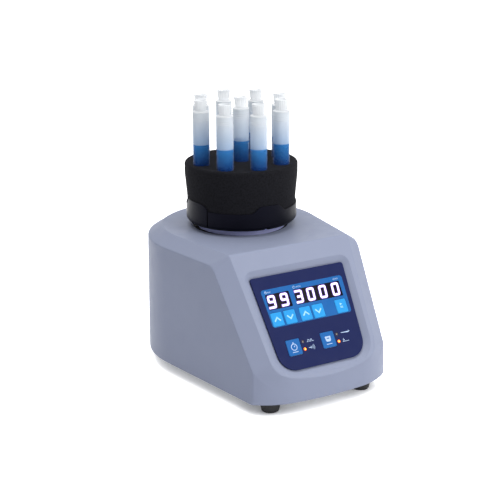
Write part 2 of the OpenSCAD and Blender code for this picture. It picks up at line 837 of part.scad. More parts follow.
// Rocker with a shallow V face, tipped towards its lower end
module power_rocker() {
    width = rocker_hole[0] - 2 * rocker_gap;
    rise = rocker_rise_h + rocker_arc * tan(rocker_tilt);
    color([0.06, 0.06, 0.07]) on_pad() rocker_place() rotate([0, 0, rocker_tilt]) {
        linear_extrude(height = width, center = true) intersection() {
            circle(r = rocker_arc);
            polygon([
                [rocker_low, -rocker_arc], [-rise, -rocker_arc], [-rocker_rise_h, 0],
                [-rise, rocker_arc], [rocker_low, rocker_arc]
            ]);
        }
        cylinder(r = trunnion_r, h = rocker_hole[0] + 2 * trunnion_l, center = true);
    }
}

module motor_posts() {
    color([0.72, 0.73, 0.75]) for (p = post_places) translate([p[0], p[1], 0])
        tube_of(post_r, m4_r + thread_gap, plate_top, post_top);
}

module motor_isolators() {
    color([0.12, 0.12, 0.13]) for (p = post_places) translate([p[0], p[1], 0])
        tube_of(isolator_r, m4_r + hole_gap, post_top, motor_top);
}

module motor_plate() {
    color([0.6, 0.62, 0.65]) difference() {
        at_axis() tube_of(motor_plate_r, guide_hub_hole, motor_top, motor_plate_top);
        for (p = post_places) translate([p[0], p[1], motor_top - over])
            cylinder(r = m4_r + hole_gap, h = motor_plate_t + 2 * over);
        at_axis() translate([0, 0, motor_top - over]) {
            at_angles(motor_screw_angles, motor_screw_ring)
                cylinder(r = m4_r + hole_gap, h = motor_plate_t + 2 * over);
            at_angles(leg_angles, leg_ring)
                cylinder(r = m4_r + hole_gap, h = motor_plate_t + 2 * over);
        }
    }
}

module motor_can() {
    seat = motor_bearing_r + snug;
    color([0.3, 0.31, 0.33]) at_axis() difference() {
        rotate_extrude() polygon([
            [seat, motor_low], [motor_r - edge_break, motor_low], [motor_r, motor_low + edge_break],
            [motor_r, motor_top - edge_break], [motor_r - edge_break, motor_top], [seat, motor_top],
            [seat, motor_top - end_wall], [stator_r, motor_top - end_wall],
            [stator_r, motor_low + end_wall], [seat, motor_low + end_wall]
        ]);
        at_angles(motor_screw_angles, motor_screw_ring) translate([0, 0, motor_top - end_wall - over])
            cylinder(r = m4_r + thread_gap, h = end_wall + 2 * over);
    }
}

module motor_bearings() {
    color([0.78, 0.79, 0.81]) at_axis() {
        tube_of(motor_bearing_r, shaft_r + run_gap, motor_low, motor_low + end_wall);
        tube_of(motor_bearing_r, shaft_r + run_gap, motor_top - end_wall, motor_top);
    }
}

module motor_rotor() {
    color([0.66, 0.67, 0.7]) at_axis() {
        translate([0, 0, shaft_low]) cylinder(r = shaft_r, h = shaft_top - shaft_low);
        translate([0, 0, motor_low + end_wall + over])
            cylinder(r = stator_r - rotor_gap, h = motor_len - 2 * end_wall - 2 * over);
    }
}

module eccentric_hub() {
    bore_h = shaft_top - crank_low + 1.5 * over;
    color([0.74, 0.72, 0.66]) difference() {
        union() {
            at_axis() {
                translate([0, 0, crank_low]) cylinder(r = crank_hub_r, h = weight_top - crank_low);
                translate([0, 0, weight_top - over])
                    cylinder(r = crank_neck_r, h = crank_top - weight_top + over);
                translate([0, 0, weight_low]) rotate_extrude(angle = 180)
                    translate([weight_in, 0]) square([counterweight[0] - weight_in, counterweight[1]]);
            }
            at_head() {
                translate([0, 0, crank_top - over])
                    cylinder(r = collar_r, h = bearing_low - crank_top + over - hole_gap);
                translate([0, 0, crank_top]) cylinder(r = pin_r, h = bearing_top - crank_top + over);
            }
        }
        at_axis() translate([0, 0, crank_low - over]) cylinder(r = shaft_r + snug, h = bore_h);
    }
}

module guide_plate() {
    color([0.68, 0.7, 0.72]) at_axis() difference() {
        union() {
            tube_of(guide_plate_r, guide_hub_hole, guide_low, guide_top);
            at_angles(leg_angles, leg_ring) translate([0, 0, motor_plate_top])
                cylinder(r = leg_r, h = guide_low - motor_plate_top + over);
        }
        at_angles(guide_angles, guide_ring) translate([0, 0, guide_low - over])
            cylinder(r = guide_hole, h = guide_t + 2 * over);
        at_angles(leg_angles, leg_ring) translate([0, 0, motor_plate_top - over])
            cylinder(r = m4_r + thread_gap, h = m4_bite + 2 * over);
    }
}

module touch_switch() {
    color([0.14, 0.14, 0.16]) at_axis() rotate([0, 0, switch_angle])
        translate([guide_ring, 0, guide_top + switch_size[2] / 2])
            cube([switch_size[1], switch_size[0], switch_size[2]], center = true);
}

module splash_boot() {
    top = top_z - wall;
    low = top - boot_drop;
    fold_out = opening_r - boot_t;
    fold_in = boot_lip + boot_fold;
    color([0.07, 0.07, 0.08]) at_axis() rotate_extrude() polygon([
        [boot_r, top], [fold_out - over, top], [fold_in, low + boot_t], [boot_lip, low + boot_t],
        [boot_lip, low], [fold_in + over, low], [fold_out, top - boot_t], [boot_r, top - boot_t]
    ]);
}

module head_bearing() {
    groove = 0.5;
    race = 2.5;
    inner = pin_r + run_gap;
    low_race = inner + race;
    high_race = bearing[0] - race;
    color([0.8, 0.81, 0.83]) at_head() rotate_extrude() polygon([
        [inner, bearing_low], [low_race, bearing_low], [low_race, bearing_low + groove],
        [high_race, bearing_low + groove], [high_race, bearing_low], [bearing[0], bearing_low],
        [bearing[0], bearing_top], [high_race, bearing_top], [high_race, bearing_top - groove],
        [low_race, bearing_top - groove], [low_race, bearing_top], [inner, bearing_top]
    ]);
}

// Helical wire between the bearing's outer race and the hub's ceiling
module touch_spring() {
    sides = 8;
    turn_steps = 24;
    steps = turn_steps * spring_turns;
    step_a = 360 / turn_steps;
    mean_r = bearing[0] - seat_gap - wire_r;
    low = bearing_top + wire_r + run_gap;
    rise = spring_h - 2 * wire_r - 2 * run_gap;
    lean = atan2(rise, 2 * PI * spring_turns * mean_r);
    function middle(i) = [mean_r * cos(step_a * i), mean_r * sin(step_a * i), low + rise * i / steps];
    function ring(i) = [
        for (k = [0:sides - 1])
            let (t = step_a * i, a = 360 * k / sides, across = wire_r * sin(a) * sin(lean))
            middle(i) + [
                wire_r * cos(a) * cos(t) + across * sin(t),
                wire_r * cos(a) * sin(t) - across * cos(t),
                wire_r * sin(a) * cos(lean)
            ]
    ];
    points = [for (i = [0:steps]) each ring(i)];
    side_faces = [
        for (i = [0:steps - 1], k = [0:sides - 1])
            let (a = i * sides + k, b = i * sides + (k + 1) % sides)
            each [[a, a + sides, b], [b, a + sides, b + sides]]
    ];
    start_cap = [for (k = [1:sides - 2]) [0, k, k + 1]];
    end_cap = [for (k = [1:sides - 2]) [steps * sides, steps * sides + k + 1, steps * sides + k]];
    near = [
        for (i = [0:steps - turn_steps / 2], j = [i + turn_steps / 2:steps])
            norm(middle(j) - middle(i))
    ];
    echo(least_spring_gap = min(near) - 2 * wire_r);
    color([0.75, 0.76, 0.78]) at_head()
        polyhedron(points = points, faces = concat(side_faces, start_cap, end_cap));
}

module head_hub() {
    bore = bearing[0] + run_gap;
    groove_low = bearing_low - clip_gap - clip_t - run_gap;
    groove_high = bearing_low - clip_gap + run_gap;
    groove_r = clip_out + run_gap;
    color([0.7, 0.72, 0.74]) at_head() difference() {
        rotate_extrude() polygon([
            [bore, hub_low], [cup_r, hub_low], [cup_r, hub_flange_z], [hub_flange_r, hub_flange_z],
            [hub_flange_r, hub_flange_z + hub_flange_t], [hub_top_r, hub_flange_z + hub_flange_t],
            [hub_top_r, platform_low], [0, platform_low], [0, ceiling_z], [bore, ceiling_z],
            [bore, groove_high], [groove_r, groove_high], [groove_r, groove_low], [bore, groove_low]
        ]);
        at_angles(guide_angles, guide_ring) translate([0, 0, hub_flange_z - over])
            cylinder(r = guide_r + snug, h = hub_flange_t + 2 * over);
        at_angles(platform_screw_angles, platform_screw_ring) translate([0, 0, ceiling_z - over])
            cylinder(r = m4_r + thread_gap, h = hub_roof + 2 * over);
    }
}

module hub_clip() {
    color([0.5, 0.51, 0.53]) at_head()
        tube_of(clip_out, clip_in, bearing_low - clip_gap - clip_t, bearing_low - clip_gap);
}

module guide_pins() {
    color([0.8, 0.81, 0.82]) at_head() at_angles(guide_angles, guide_ring)
        translate([0, 0, guide_low + press_travel + over])
            cylinder(r = guide_r, h = hub_flange_z + hub_flange_t - guide_low - press_travel - over);
}

module head_platform() {
    rim_low = platform_low - rim_drop;
    color([0.48, 0.49, 0.62]) at_head() difference() {
        rotate_extrude() polygon([
            [0, platform_low], [platform_r - rim_t, platform_low], [platform_r - rim_t, rim_low],
            [platform_r, rim_low], [platform_r, platform_top - edge_break],
            [platform_r - edge_break, platform_top], [0, platform_top]
        ]);
        at_angles(platform_screw_angles, platform_screw_ring) translate([0, 0, platform_low - over]) {
            cylinder(r = m4_r + hole_gap, h = platform_t + 2 * over);
            translate([0, 0, platform_t + over - head_bore_h])
                cylinder(r = m4_head[0] + hole_gap, h = platform_t);
        }
        at_angles(retainer_screw_angles, retainer_screw_ring) translate([0, 0, platform_low - over])
            cylinder(r = m4_r + thread_gap, h = platform_t + 2 * over);
    }
}

module head_screws() {
    color([0.72, 0.73, 0.75]) at_head() {
        at_angles(platform_screw_angles, platform_screw_ring)
            translate([0, 0, platform_top - head_bore_h])
                screw(m4_r, m4_head, platform_t - head_bore_h + hub_roof - over);
        at_angles(retainer_screw_angles, retainer_screw_ring)
            translate([0, 0, platform_top + retainer_floor - head_bore_h])
                screw(m4_r, m4_head, retainer_floor - head_bore_h + platform_t - over);
    }
}

// Shallow bowl whose wall is cut down to the rim between four raised tabs
module tube_retainer() {
    floor_z = platform_top + retainer_floor;
    gap_a = 90 - 2 * tab_half;
    color([0.17, 0.16, 0.19]) at_head() difference() {
        rotate_extrude() polygon([
            [0, platform_top], [bowl_r, platform_top], [retainer_r, platform_top + bowl_rise],
            [retainer_r, tab_z], [retainer_in, tab_z], [retainer_in, platform_top + bowl_rise + over],
            [bowl_r - over, floor_z], [0, floor_z]
        ]);
        for (a = [0:90:270]) rotate([0, 0, a + tab_half]) rotate_extrude(angle = gap_a)
            translate([retainer_in - over, rim_z]) square([retainer_wall + 2 * over, tab_z - rim_z + over]);
        at_angles(retainer_screw_angles, retainer_screw_ring) translate([0, 0, platform_top - over]) {
            cylinder(r = m4_r + hole_gap, h = retainer_floor + 2 * over);
            translate([0, 0, retainer_floor + over - head_bore_h])
                cylinder(r = m4_head[0] + hole_gap, h = retainer_floor);
        }
    }
}

// Round-bottomed section of a tube or of its hole, to be turned about the Z axis
module round_section(r, low, high) {
    intersection() {
        union() {
            translate([0, low + r]) circle(r = r);
            translate([0, low + r]) square([r, high - low - r]);
        }
        translate([0, low]) square([r, high - low]);
    }
}

module foam_insert() {
    soft_edge = 2;
    waist_r = retainer_r - seat_gap;
    waist_z = tab_z + soft_edge;
    color([0.1, 0.1, 0.12]) at_head() difference() {
        rotate_extrude() polygon([
            [0, foam_low], [bowl_r - over - 2 * seat_gap, foam_low],
            [foam_low_r, platform_top + bowl_rise + over + 2 * seat_gap], [foam_low_r, tab_z],
            [waist_r, waist_z], [foam_r, foam_top - soft_edge], [foam_r - soft_edge, foam_top], [0, foam_top]
        ]);
        for (p = tube_places) translate([p[0], p[1], 0])
            rotate_extrude() round_section(hole_r, tube_low - tube_gap, foam_top + over);
    }
}

module sample_tube(i) {
    p = tube_places[i - 1];
    color([0.8, 0.9, 0.97, 0.5]) at_head() translate([p[0], p[1], 0]) rotate_extrude() difference() {
        round_section(tube_r, tube_low, tube_top);
        round_section(tube_r - tube_wall, tube_low + tube_wall, tube_top + over);
    }
}

module tube_cap(i) {
    p = tube_places[i - 1];
    lead = 0.5;
    flare = 0.4;
    plug_r = tube_r - tube_wall - run_gap;
    plug_low = tube_top - cap_plug_h;
    flange_top = tube_top + cap_flange_h;
    grip_top = flange_top + cap_grip_h;
    color([0.93, 0.95, 0.97]) at_head() translate([p[0], p[1], 0]) rotate_extrude() polygon([
        [0, plug_low], [plug_r - lead, plug_low], [plug_r, plug_low + 2 * lead], [plug_r, tube_top],
        [tube_r + cap_lip, tube_top], [tube_r + cap_lip, flange_top], [cap_grip_r, flange_top],
        [cap_grip_r + flare, grip_top], [0, grip_top]
    ]);
}

upper_housing();
base_plate();
rubber_feet();
m4_screws();
m3_screws();
control_overlay();
membrane_circuit();
display_lenses();
time_display();
speed_display();
indicator_leds();
control_board();
power_board();
power_inlet();
inlet_pins();
power_rocker();
motor_posts();
motor_isolators();
motor_plate();
motor_can();
motor_bearings();
motor_rotor();
eccentric_hub();
guide_plate();
touch_switch();
splash_boot();
head_bearing();
touch_spring();
head_hub();
hub_clip();
guide_pins();
head_platform();
head_screws();
tube_retainer();
foam_insert();
for (i = [0:4]) key_pad(upper_u[i], upper_v, upper_key);
for (i = [0:1]) key_pad(lower_u[i], lower_v, lower_key);
for (i = [1:9]) sample_tube(i);
for (i = [1:9]) tube_cap(i);
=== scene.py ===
"""Bench vortex mixer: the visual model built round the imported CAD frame."""

import math

import bmesh
import bpy
from mathutils import Matrix, Vector


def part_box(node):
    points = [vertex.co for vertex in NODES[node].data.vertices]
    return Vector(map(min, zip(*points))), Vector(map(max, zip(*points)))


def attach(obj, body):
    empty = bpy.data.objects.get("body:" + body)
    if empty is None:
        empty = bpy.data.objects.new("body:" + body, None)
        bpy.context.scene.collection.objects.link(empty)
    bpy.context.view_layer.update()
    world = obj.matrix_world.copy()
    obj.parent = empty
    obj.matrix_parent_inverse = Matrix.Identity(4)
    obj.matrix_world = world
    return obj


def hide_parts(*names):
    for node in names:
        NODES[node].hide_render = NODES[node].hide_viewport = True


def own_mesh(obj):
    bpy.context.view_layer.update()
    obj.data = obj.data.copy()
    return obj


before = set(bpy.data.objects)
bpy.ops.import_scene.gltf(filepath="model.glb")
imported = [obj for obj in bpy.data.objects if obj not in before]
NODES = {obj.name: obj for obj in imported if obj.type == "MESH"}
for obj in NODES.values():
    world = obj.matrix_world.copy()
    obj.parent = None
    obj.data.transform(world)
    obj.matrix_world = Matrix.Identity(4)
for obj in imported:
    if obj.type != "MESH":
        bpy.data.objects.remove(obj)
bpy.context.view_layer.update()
MM = 0.001

# Housing lines in millimetres: the part's own values, but a wider knuckle and a fuller front
BACK_R = 90.0
FRONT_Y = -116.75
AXIS_Y = 35.25
KNUCKLE_HALF = 78.4
KNUCKLE_Y = -54.75
TOP_Z = 136.0
SKIRT_Z = 44.0
EDGE_Z = 12.0
FRONT_EDGE_Y = -124.8
FRONT_FLAT_R, FRONT_ROUND_R = 290.0, 66.0
FRONT_BREAK = math.radians(7.2)
CHAMFER_IN, CHAMFER_DROP = 14.2, 9.2
FRONT_LIP = 0.2
LIP_CORNER_R = 12.0
WALL = 3.0
SLOPE_A = math.atan2(TOP_Z - SKIRT_Z, KNUCKLE_Y - FRONT_Y)
SLOPE = Matrix.Translation((0, KNUCKLE_Y * MM, TOP_Z * MM)) @ Matrix.Rotation(SLOPE_A, 4, "X")
KNUCKLE_RUN = AXIS_Y - KNUCKLE_Y
TAPER = (
    math.pi / 2 - math.atan2(KNUCKLE_RUN, -KNUCKLE_HALF)
    + math.asin(BACK_R / math.hypot(KNUCKLE_HALF, KNUCKLE_RUN))
)

# Edge rounding of the housing, in millimetres
SIDE_EDGE_R = 2.0
TOP_EDGE_R = 1.8
KNUCKLE_R = 3.4
SIDE_KNUCKLE_R = 14.0
FRONT_CORNER_R = 4.0
LOWER_EDGE_R = 0.8
DRAFT = 1.4
LEAST_SKIRT = 1.2


# Small tools

NORMAL_WEIGHT = 60
# A corner this near straight, in radians, isn't rounded, and a fillet takes up at most a share of a side
STRAIGHT = 0.02
OUTLINE_SHARE, WALL_SHARE = 0.49, 0.45
LEAST_MITRE = 0.3
RECT_STEPS = 6
RING = ((-1, -1), (1, -1), (1, 1), (-1, 1))


def lerp(a, b, t):
    return a + (b - a) * t


def smooth(t):
    t = min(max(t, 0.0), 1.0)
    return t * t * (3 - 2 * t)


def spaced(marks, counts):
    """Equal steps along each stretch between marks, without the last mark."""
    return [lerp(a, b, k / n) for a, b, n in zip(marks, marks[1:], counts) for k in range(n)]


def span(node):
    """Middle, half width, foot and top of a CAD node, in millimetres."""
    low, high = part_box(node)
    middle = (low.x + high.x) / 2 / MM, (low.y + high.y) / 2 / MM
    return middle, (high.x - low.x) / 2 / MM, low.z / MM, high.z / MM


def new_object(name, data):
    obj = bpy.data.objects.new(name, data)
    bpy.context.scene.collection.objects.link(obj)
    return obj


def add_object(name, mesh, material, body, replaced=()):
    """Links a finished mesh as a piece that rides on a body, and hides the parts it replaces."""
    for polygon in mesh.polygons:
        polygon.use_smooth = True
    mesh.materials.clear()
    mesh.materials.append(material)
    obj = new_object(name, mesh)
    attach(obj, body)
    if replaced:
        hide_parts(*replaced)
    return obj


def mesh_from(name, verts, faces):
    mesh = bpy.data.meshes.new(name)
    mesh.from_pydata([tuple(v) for v in verts], [], faces)
    mesh.validate()
    return mesh


def tidy_mesh(mesh, merge=1e-6):
    """Merges doubles and points every face outwards."""
    bm = bmesh.new()
    bm.from_mesh(mesh)
    bmesh.ops.remove_doubles(bm, verts=bm.verts, dist=merge)
    bmesh.ops.recalc_face_normals(bm, faces=bm.faces)
    bm.to_mesh(mesh)
    bm.free()
    return mesh


def evaluated_mesh(obj):
    """Mesh of an object with its curve filled or its modifiers applied."""
    bpy.context.view_layer.update()
    return bpy.data.meshes.new_from_object(obj.evaluated_get(bpy.context.evaluated_depsgraph_get()))


def crisp(obj, angle=35):
    """Keeps edges over an angle sharp and lets the large faces set the normals."""
    obj.data.set_sharp_from_angle(angle=math.radians(angle))
    weigh = obj.modifiers.new("weighted_normals", "WEIGHTED_NORMAL")
    weigh.keep_sharp = True
    weigh.weight = NORMAL_WEIGHT


def fillet(here, back, ahead, radius, share):
    """Middle of a fillet at a corner, its first and last spoke and its radius. It takes up at most a
    share of each side."""
    turn = back.angle(ahead)
    reach = min(radius / math.tan(turn / 2), back.length * share, ahead.length * share)
    back, ahead = back.normalized(), ahead.normalized()
    fit = reach * math.tan(turn / 2)
    middle = here + (back + ahead).normalized() * (fit / math.sin(turn / 2))
    return middle, here + back * reach - middle, here + ahead * reach - middle, fit


def soften(corners, steps=5, closed=False):
    """Outline from (a, b, radius) corners, each rounded by its radius."""
    count = len(corners)
    out = []
    for i, (a, b, radius) in enumerate(corners):
        here = Vector((a, b))
        back = Vector(corners[i - 1][:2]) - here
        ahead = Vector(corners[(i + 1) % count][:2]) - here
        at_end = not closed and i in (0, count - 1)
        if radius <= 0 or at_end or back.angle(ahead, math.pi) > math.pi - STRAIGHT:
            out.append((a, b))
            continue
        middle, first, last, _ = fillet(here, back, ahead, radius, OUTLINE_SHARE)
        sweep = first.angle_signed(last)
        for k in range(steps + 1):
            spin = -sweep * k / steps
            c, s = math.cos(spin), math.sin(spin)
            out.append((middle.x + first.x * c - first.y * s, middle.y + first.x * s + first.y * c))
    return out


def quads(count, rows, closed=False):
    """Faces between rings of count points each. The last ring may close on the first."""
    faces = []
    for k in range(rows if closed else rows - 1):
        low, high = k * count, (k + 1) % rows * count
        for i in range(count):
            n = (i + 1) % count
            faces.append((low + i, high + i, high + n, low + n))
    return faces


def lathe(name, profile, centre=(0.0, 0.0), steps=96, radius_at=None):
    """Turns an (r, z) outline in millimetres about a vertical axis. An outline that starts and ends
    on the axis closes there, any other closes on itself. radius_at(r, z, angle) may change a radius."""
    on_axis = profile[0][0] < 1e-6 and profile[-1][0] < 1e-6
    verts = []
    for r, z in profile:
        for k in range(steps):
            a = 2 * math.pi * k / steps
            rr = radius_at(r, z, a) if radius_at else r
            verts.append(((centre[0] + rr * math.cos(a)) * MM, (centre[1] + rr * math.sin(a)) * MM, z * MM))
    return tidy_mesh(mesh_from(name, verts, quads(steps, len(profile), not on_axis)))


def stack(name, rings):
    """Closed solid through rings of equally many points, capped at both ends."""
    count, rows = len(rings[0]), len(rings)
    ends = [tuple(range(count)), tuple(range((rows - 1) * count, rows * count))]
    return tidy_mesh(mesh_from(name, [p for ring in rings for p in ring], quads(count, rows) + ends))


def rect(u, v, width, height, radius):
    """Rounded rectangle on the slope, centred at u across and v below the knuckle, in millimetres."""
    corners = [(u + s * width / 2, -v + t * height / 2, radius) for s, t in RING]
    return soften(corners, RECT_STEPS, closed=True)


def area_of(outline):
    return sum(a[0] * b[1] - b[0] * a[1] for a, b in zip(outline, outline[1:] + outline[:1])) / 2


def plates(name, shapes, low, high, edge=0.0, steps=2):
    """Flat plates between two levels in millimetres. Each shape is an outline and its holes."""
    curve = bpy.data.curves.new(name, "CURVE")
    curve.dimensions = "2D"
    curve.fill_mode = "BOTH"
    curve.extrude = (high - low) / 2 - edge
    curve.bevel_depth = edge
    curve.bevel_resolution = steps
    curve.offset = -edge
    for outer, holes in shapes:
        for k, outline in enumerate([outer] + list(holes)):
            if (area_of(outline) > 0) == (k > 0):
                outline = outline[::-1]
            spline = curve.splines.new("POLY")
            spline.points.add(len(outline) - 1)
            spline.use_cyclic_u = True
            for point, (a, b) in zip(spline.points, outline):
                point.co = (a, b, 0, 1)
    holder = new_object(name, curve)
    mesh = evaluated_mesh(holder)
    bpy.data.objects.remove(holder)
    bpy.data.curves.remove(curve)
    mesh.transform(Matrix.Translation((0, 0, (low + high) / 2)))
    mesh.name = name
    return tidy_mesh(mesh, 1e-4)


def on_slope(mesh):
    """Takes a mesh in millimetres on the slope's plane to its place in metres."""
    mesh.transform(SLOPE @ Matrix.Scale(MM, 4))
    return mesh


def ribbon(points, width, closed=False):
    """Outline of a stroke of constant width along points, with mitred bends and square ends."""
    line = [Vector(p) for p in points]
    count = len(line)
    left, right = [], []
    for i, here in enumerate(line):
        before = line[i - 1] if (closed or i) else here
        after = line[(i + 1) % count] if (closed or i < count - 1) else here
        d1 = (here - before).normalized() if before != here else (after - here).normalized()
        d2 = (after - here).normalized() if after != here else d1
        n1, n2 = Vector((-d1.y, d1.x)), Vector((-d2.y, d2.x))
        mitre = (n1 + n2) / max(1 + n1.dot(n2), LEAST_MITRE)
        left.append(tuple(here + mitre * width / 2))
        right.append(tuple(here - mitre * width / 2))
    if closed:
        outer, inner = (left, right) if abs(area_of(left)) > abs(area_of(right)) else (right, left)
        return outer, [inner]
    return left + right[::-1], []


def boolean(obj, tool, operation="DIFFERENCE"):
    """Applies one exact boolean with a closed mesh to a piece."""
    cutter = new_object("cutter", tool)
    step = obj.modifiers.new("cut", "BOOLEAN")
    step.operation = operation
    step.solver = "EXACT"
    step.object = cutter
    result = evaluated_mesh(obj)
    obj.modifiers.remove(step)
    old = obj.data
    obj.data = result
    result.name = old.name
    bpy.data.meshes.remove(old)
    bpy.data.objects.remove(cutter)


def box_mesh(low, high):
    """Closed box between two corners in millimetres."""
    xs, ys, zs = zip(low, high)
    verts = [(x * MM, y * MM, z * MM) for x in xs for y in ys for z in zs]
    faces = [(0, 1, 3, 2), (4, 6, 7, 5), (0, 4, 5, 1), (2, 3, 7, 6), (0, 2, 6, 4), (1, 5, 7, 3)]
    return tidy_mesh(mesh_from("box", verts, faces))


# Materials; scales are per metre

NOISE_LOW, NOISE_HIGH = 0.3, 0.7
RUB_SCALE, RUB, LEAST_ROUGH = 90, 0.06, 0.02
GRAIN_DEPTH = 0.001
COAT_ROUGH = 0.12
UNEVEN_GLOW = 0.05
FROST_IOR, FROST_SHEEN, FROST_MOTTLE, FROST_RUB = 1.1, 0.4, 0.03, 0.04
# Foam: cell scale, pit depth, and (place, share) stops of the painted shade that darkens the pits
FOAM_CELLS, FOAM_PIT, FOAM_PIT_SHADE = 620, 0.0006, ((0.1, 0.55), (0.6, 1.25))
WHITE = (1, 1, 1, 1)


def rgba(colour, share=1.0):
    """Linear colour from 0-255 display values, made lighter or darker by a share."""
    def linear(c):
        c /= 255
        return c / 12.92 if c <= 0.04045 else ((c + 0.055) / 1.055) ** 2.4
    return (*[min(linear(c) * share, 1) for c in colour], 1)


def feed(tree, node, inputs):
    """Sets each named input of a node to a value, or links it to another node's output."""
    for socket, value in inputs.items():
        if isinstance(value, bpy.types.NodeSocket):
            tree.links.new(value, node.inputs[socket])
        else:
            node.inputs[socket].default_value = value


def add_node(tree, kind, inputs, **settings):
    node = tree.nodes.new("ShaderNode" + kind)
    for name, value in settings.items():
        setattr(node, name, value)
    feed(tree, node, inputs)
    return node


def new_material(name):
    """Material, its tree, its shader and the place on the object."""
    material = bpy.data.materials.new(name)
    material.use_nodes = True
    tree = material.node_tree
    place = add_node(tree, "TexCoord", {}).outputs["Object"]
    return material, tree, tree.nodes["Principled BSDF"], place


def noise(tree, place, scale, detail):
    return add_node(tree, "TexNoise", {"Scale": scale, "Detail": detail, "Vector": place}).outputs["Fac"]


def ranged(tree, value, first, last, low=0.0, high=1.0, **settings):
    """Takes a value from the range first to last to the range low to high."""
    ends = {"From Min": first, "From Max": last, "To Min": low, "To Max": high, "Value": value}
    return add_node(tree, "MapRange", ends, **settings).outputs["Result"]


def wander(tree, place, scale, detail, low, high):
    """Value that wanders over the surface between low and high."""
    return ranged(tree, noise(tree, place, scale, detail), NOISE_LOW, NOISE_HIGH, low, high)


def by_height(tree, place, low, high, **settings):
    """Value that goes from 0 to 1 between two heights in millimetres."""
    level = add_node(tree, "SeparateXYZ", {"Vector": place}).outputs["Z"]
    return ranged(tree, level, low * MM, high * MM, **settings)


def surface(name, colour, rough, mottle, grain=(1500, 0.02), gloss=0.5, metal=0.0, coat=0.0,
            tint=(255, 255, 255)):
    """Painted, moulded or plated surface: a colour that wanders a little, a roughness that does too,
    and a fine grain in the normal. mottle and grain are (scale, amount)."""
    material, tree, shader, place = new_material(name)
    mix = add_node(tree, "Mix", {
        "Factor": noise(tree, place, mottle[0], 4),
        "A": rgba(colour, 1 - mottle[1]), "B": rgba(colour, 1 + mottle[1]),
    }, data_type="RGBA")
    bump = add_node(tree, "Bump", {
        "Strength": grain[1], "Distance": GRAIN_DEPTH, "Height": noise(tree, place, grain[0], 3),
    })
    feed(tree, shader, {
        "Metallic": metal, "Specular IOR Level": gloss, "Specular Tint": rgba(tint),
        "Coat Weight": coat, "Coat Roughness": COAT_ROUGH,
        "Base Color": mix.outputs["Result"], "Normal": bump.outputs["Normal"],
        "Roughness": wander(tree, place, RUB_SCALE, 5, max(rough - RUB, LEAST_ROUGH), rough + RUB),
    })
    return material


def glow(name, colour, strength):
    """Lit surface with a faint unevenness."""
    material, tree, shader, place = new_material(name)
    low, high = strength * (1 - UNEVEN_GLOW), strength * (1 + UNEVEN_GLOW)
    feed(tree, shader, {
        "Base Color": rgba(colour), "Roughness": 0.4, "Emission Color": rgba(colour),
        "Emission Strength": wander(tree, place, 400, 2, low, high),
    })
    return material


def frosted(name, stops, through, rough):
    """Frosted plastic. stops are heights in millimetres and the colour at each, and through is the
    share of light that passes."""
    material, tree, shader, place = new_material(name)
    (low, first), (high, last) = stops[0], stops[-1]
    colour = rgba(first)
    if len(stops) > 1:
        ramp = add_node(tree, "ValToRGB", {"Fac": by_height(tree, place, low, high)})
        ends = ramp.color_ramp.elements
        ends[0].color, ends[1].color = rgba(first), rgba(last)
        for level, between in stops[1:-1]:
            ends.new((level - low) / (high - low)).color = rgba(between)
        colour = ramp.outputs["Color"]
    mottle = add_node(tree, "Mix", {
        "Factor": 1.0, "A": colour, "B": wander(tree, place, 130, 3, 1 - FROST_MOTTLE, 1.0),
    }, data_type="RGBA", blend_type="MULTIPLY")
    feed(tree, shader, {
        "IOR": FROST_IOR, "Alpha": 1 - through, "Sheen Weight": FROST_SHEEN, "Sheen Roughness": FROST_SHEEN,
        "Base Color": mottle.outputs["Result"],
        "Roughness": wander(tree, place, 220, 3, rough - FROST_RUB, rough + FROST_RUB),
    })
    return material


def sample_liquid(name, low, high, low_colour, high_colour):
    """Dyed liquid, darker lower down as painted shade and lighter towards its surface as painted light; low
    and high are heights in millimetres.
    """
    material, tree, shader, place = new_material(name)
    share = by_height(tree, place, low, high, interpolation_type="SMOOTHSTEP")
    mix = add_node(tree, "Mix", {
        "Factor": share, "A": rgba(low_colour), "B": rgba(high_colour),
    }, data_type="RGBA")
    feed(tree, shader, {
        "Specular IOR Level": 0.15, "Base Color": mix.outputs["Result"],
        "Roughness": wander(tree, place, 220, 3, 0.15, 0.25),
    })
    return material


def foam_material(name, colour):
    """Closed-cell foam: fine pits, darker in their hollows and lighter on the ridges between as painted shade
    and light.
    """
    material, tree, shader, place = new_material(name)
    cells = add_node(tree, "TexVoronoi", {"Scale": FOAM_CELLS, "Vector": place}).outputs["Distance"]
    ramp = add_node(tree, "ValToRGB", {"Fac": cells})
    for end, (position, share) in zip(ramp.color_ramp.elements, FOAM_PIT_SHADE):
        end.position, end.color = position, rgba(colour, share)
    bump = add_node(tree, "Bump", {"Strength": 0.35, "Distance": FOAM_PIT, "Height": cells})
    feed(tree, shader, {
        "Roughness": 0.92, "Specular IOR Level": 0.12,
        "Base Color": ramp.outputs["Color"], "Normal": bump.outputs["Normal"],
    })
    return material


LIQUID_Z, LIQUID_FADE = 217.5, 19
PAINT = surface("housing_satin_paint", (143, 150, 172), 0.46, (35, 0.02), (1900, 0.05), 0.2)
NAVY = surface("overlay_navy_film", (30, 38, 82), 0.42, (140, 0.04), (3200, 0.04), 0.05)
FIELD = surface("overlay_blue_print", (24, 98, 168), 0.42, (140, 0.03), (3200, 0.04), 0.1)
CYAN = surface("key_cyan_print", (42, 156, 226), 0.4, (200, 0.03), (3000, 0.04), 0.1)
BLUE = surface("key_blue_print", (28, 100, 170), 0.4, (200, 0.03), (3000, 0.04), 0.1)
WHITE_INK = surface("white_ink", (176, 200, 232), 0.45, (500, 0.03), (4000, 0.03))
PALE_INK = surface("pale_cyan_ink", (150, 214, 248), 0.45, (500, 0.03), (4000, 0.03))
LENS = surface("smoked_lens", (16, 11, 24), 0.3, (90, 0.1), (700, 0.01), 0.05)
GHOST = surface("unlit_segment", (36, 27, 50), 0.4, (300, 0.1), (2000, 0.02), 0.05)
DIGIT = glow("digit_white_glow", (252, 248, 255), 0.95)
HALO = glow("digit_violet_glow", (112, 78, 176), 0.7)
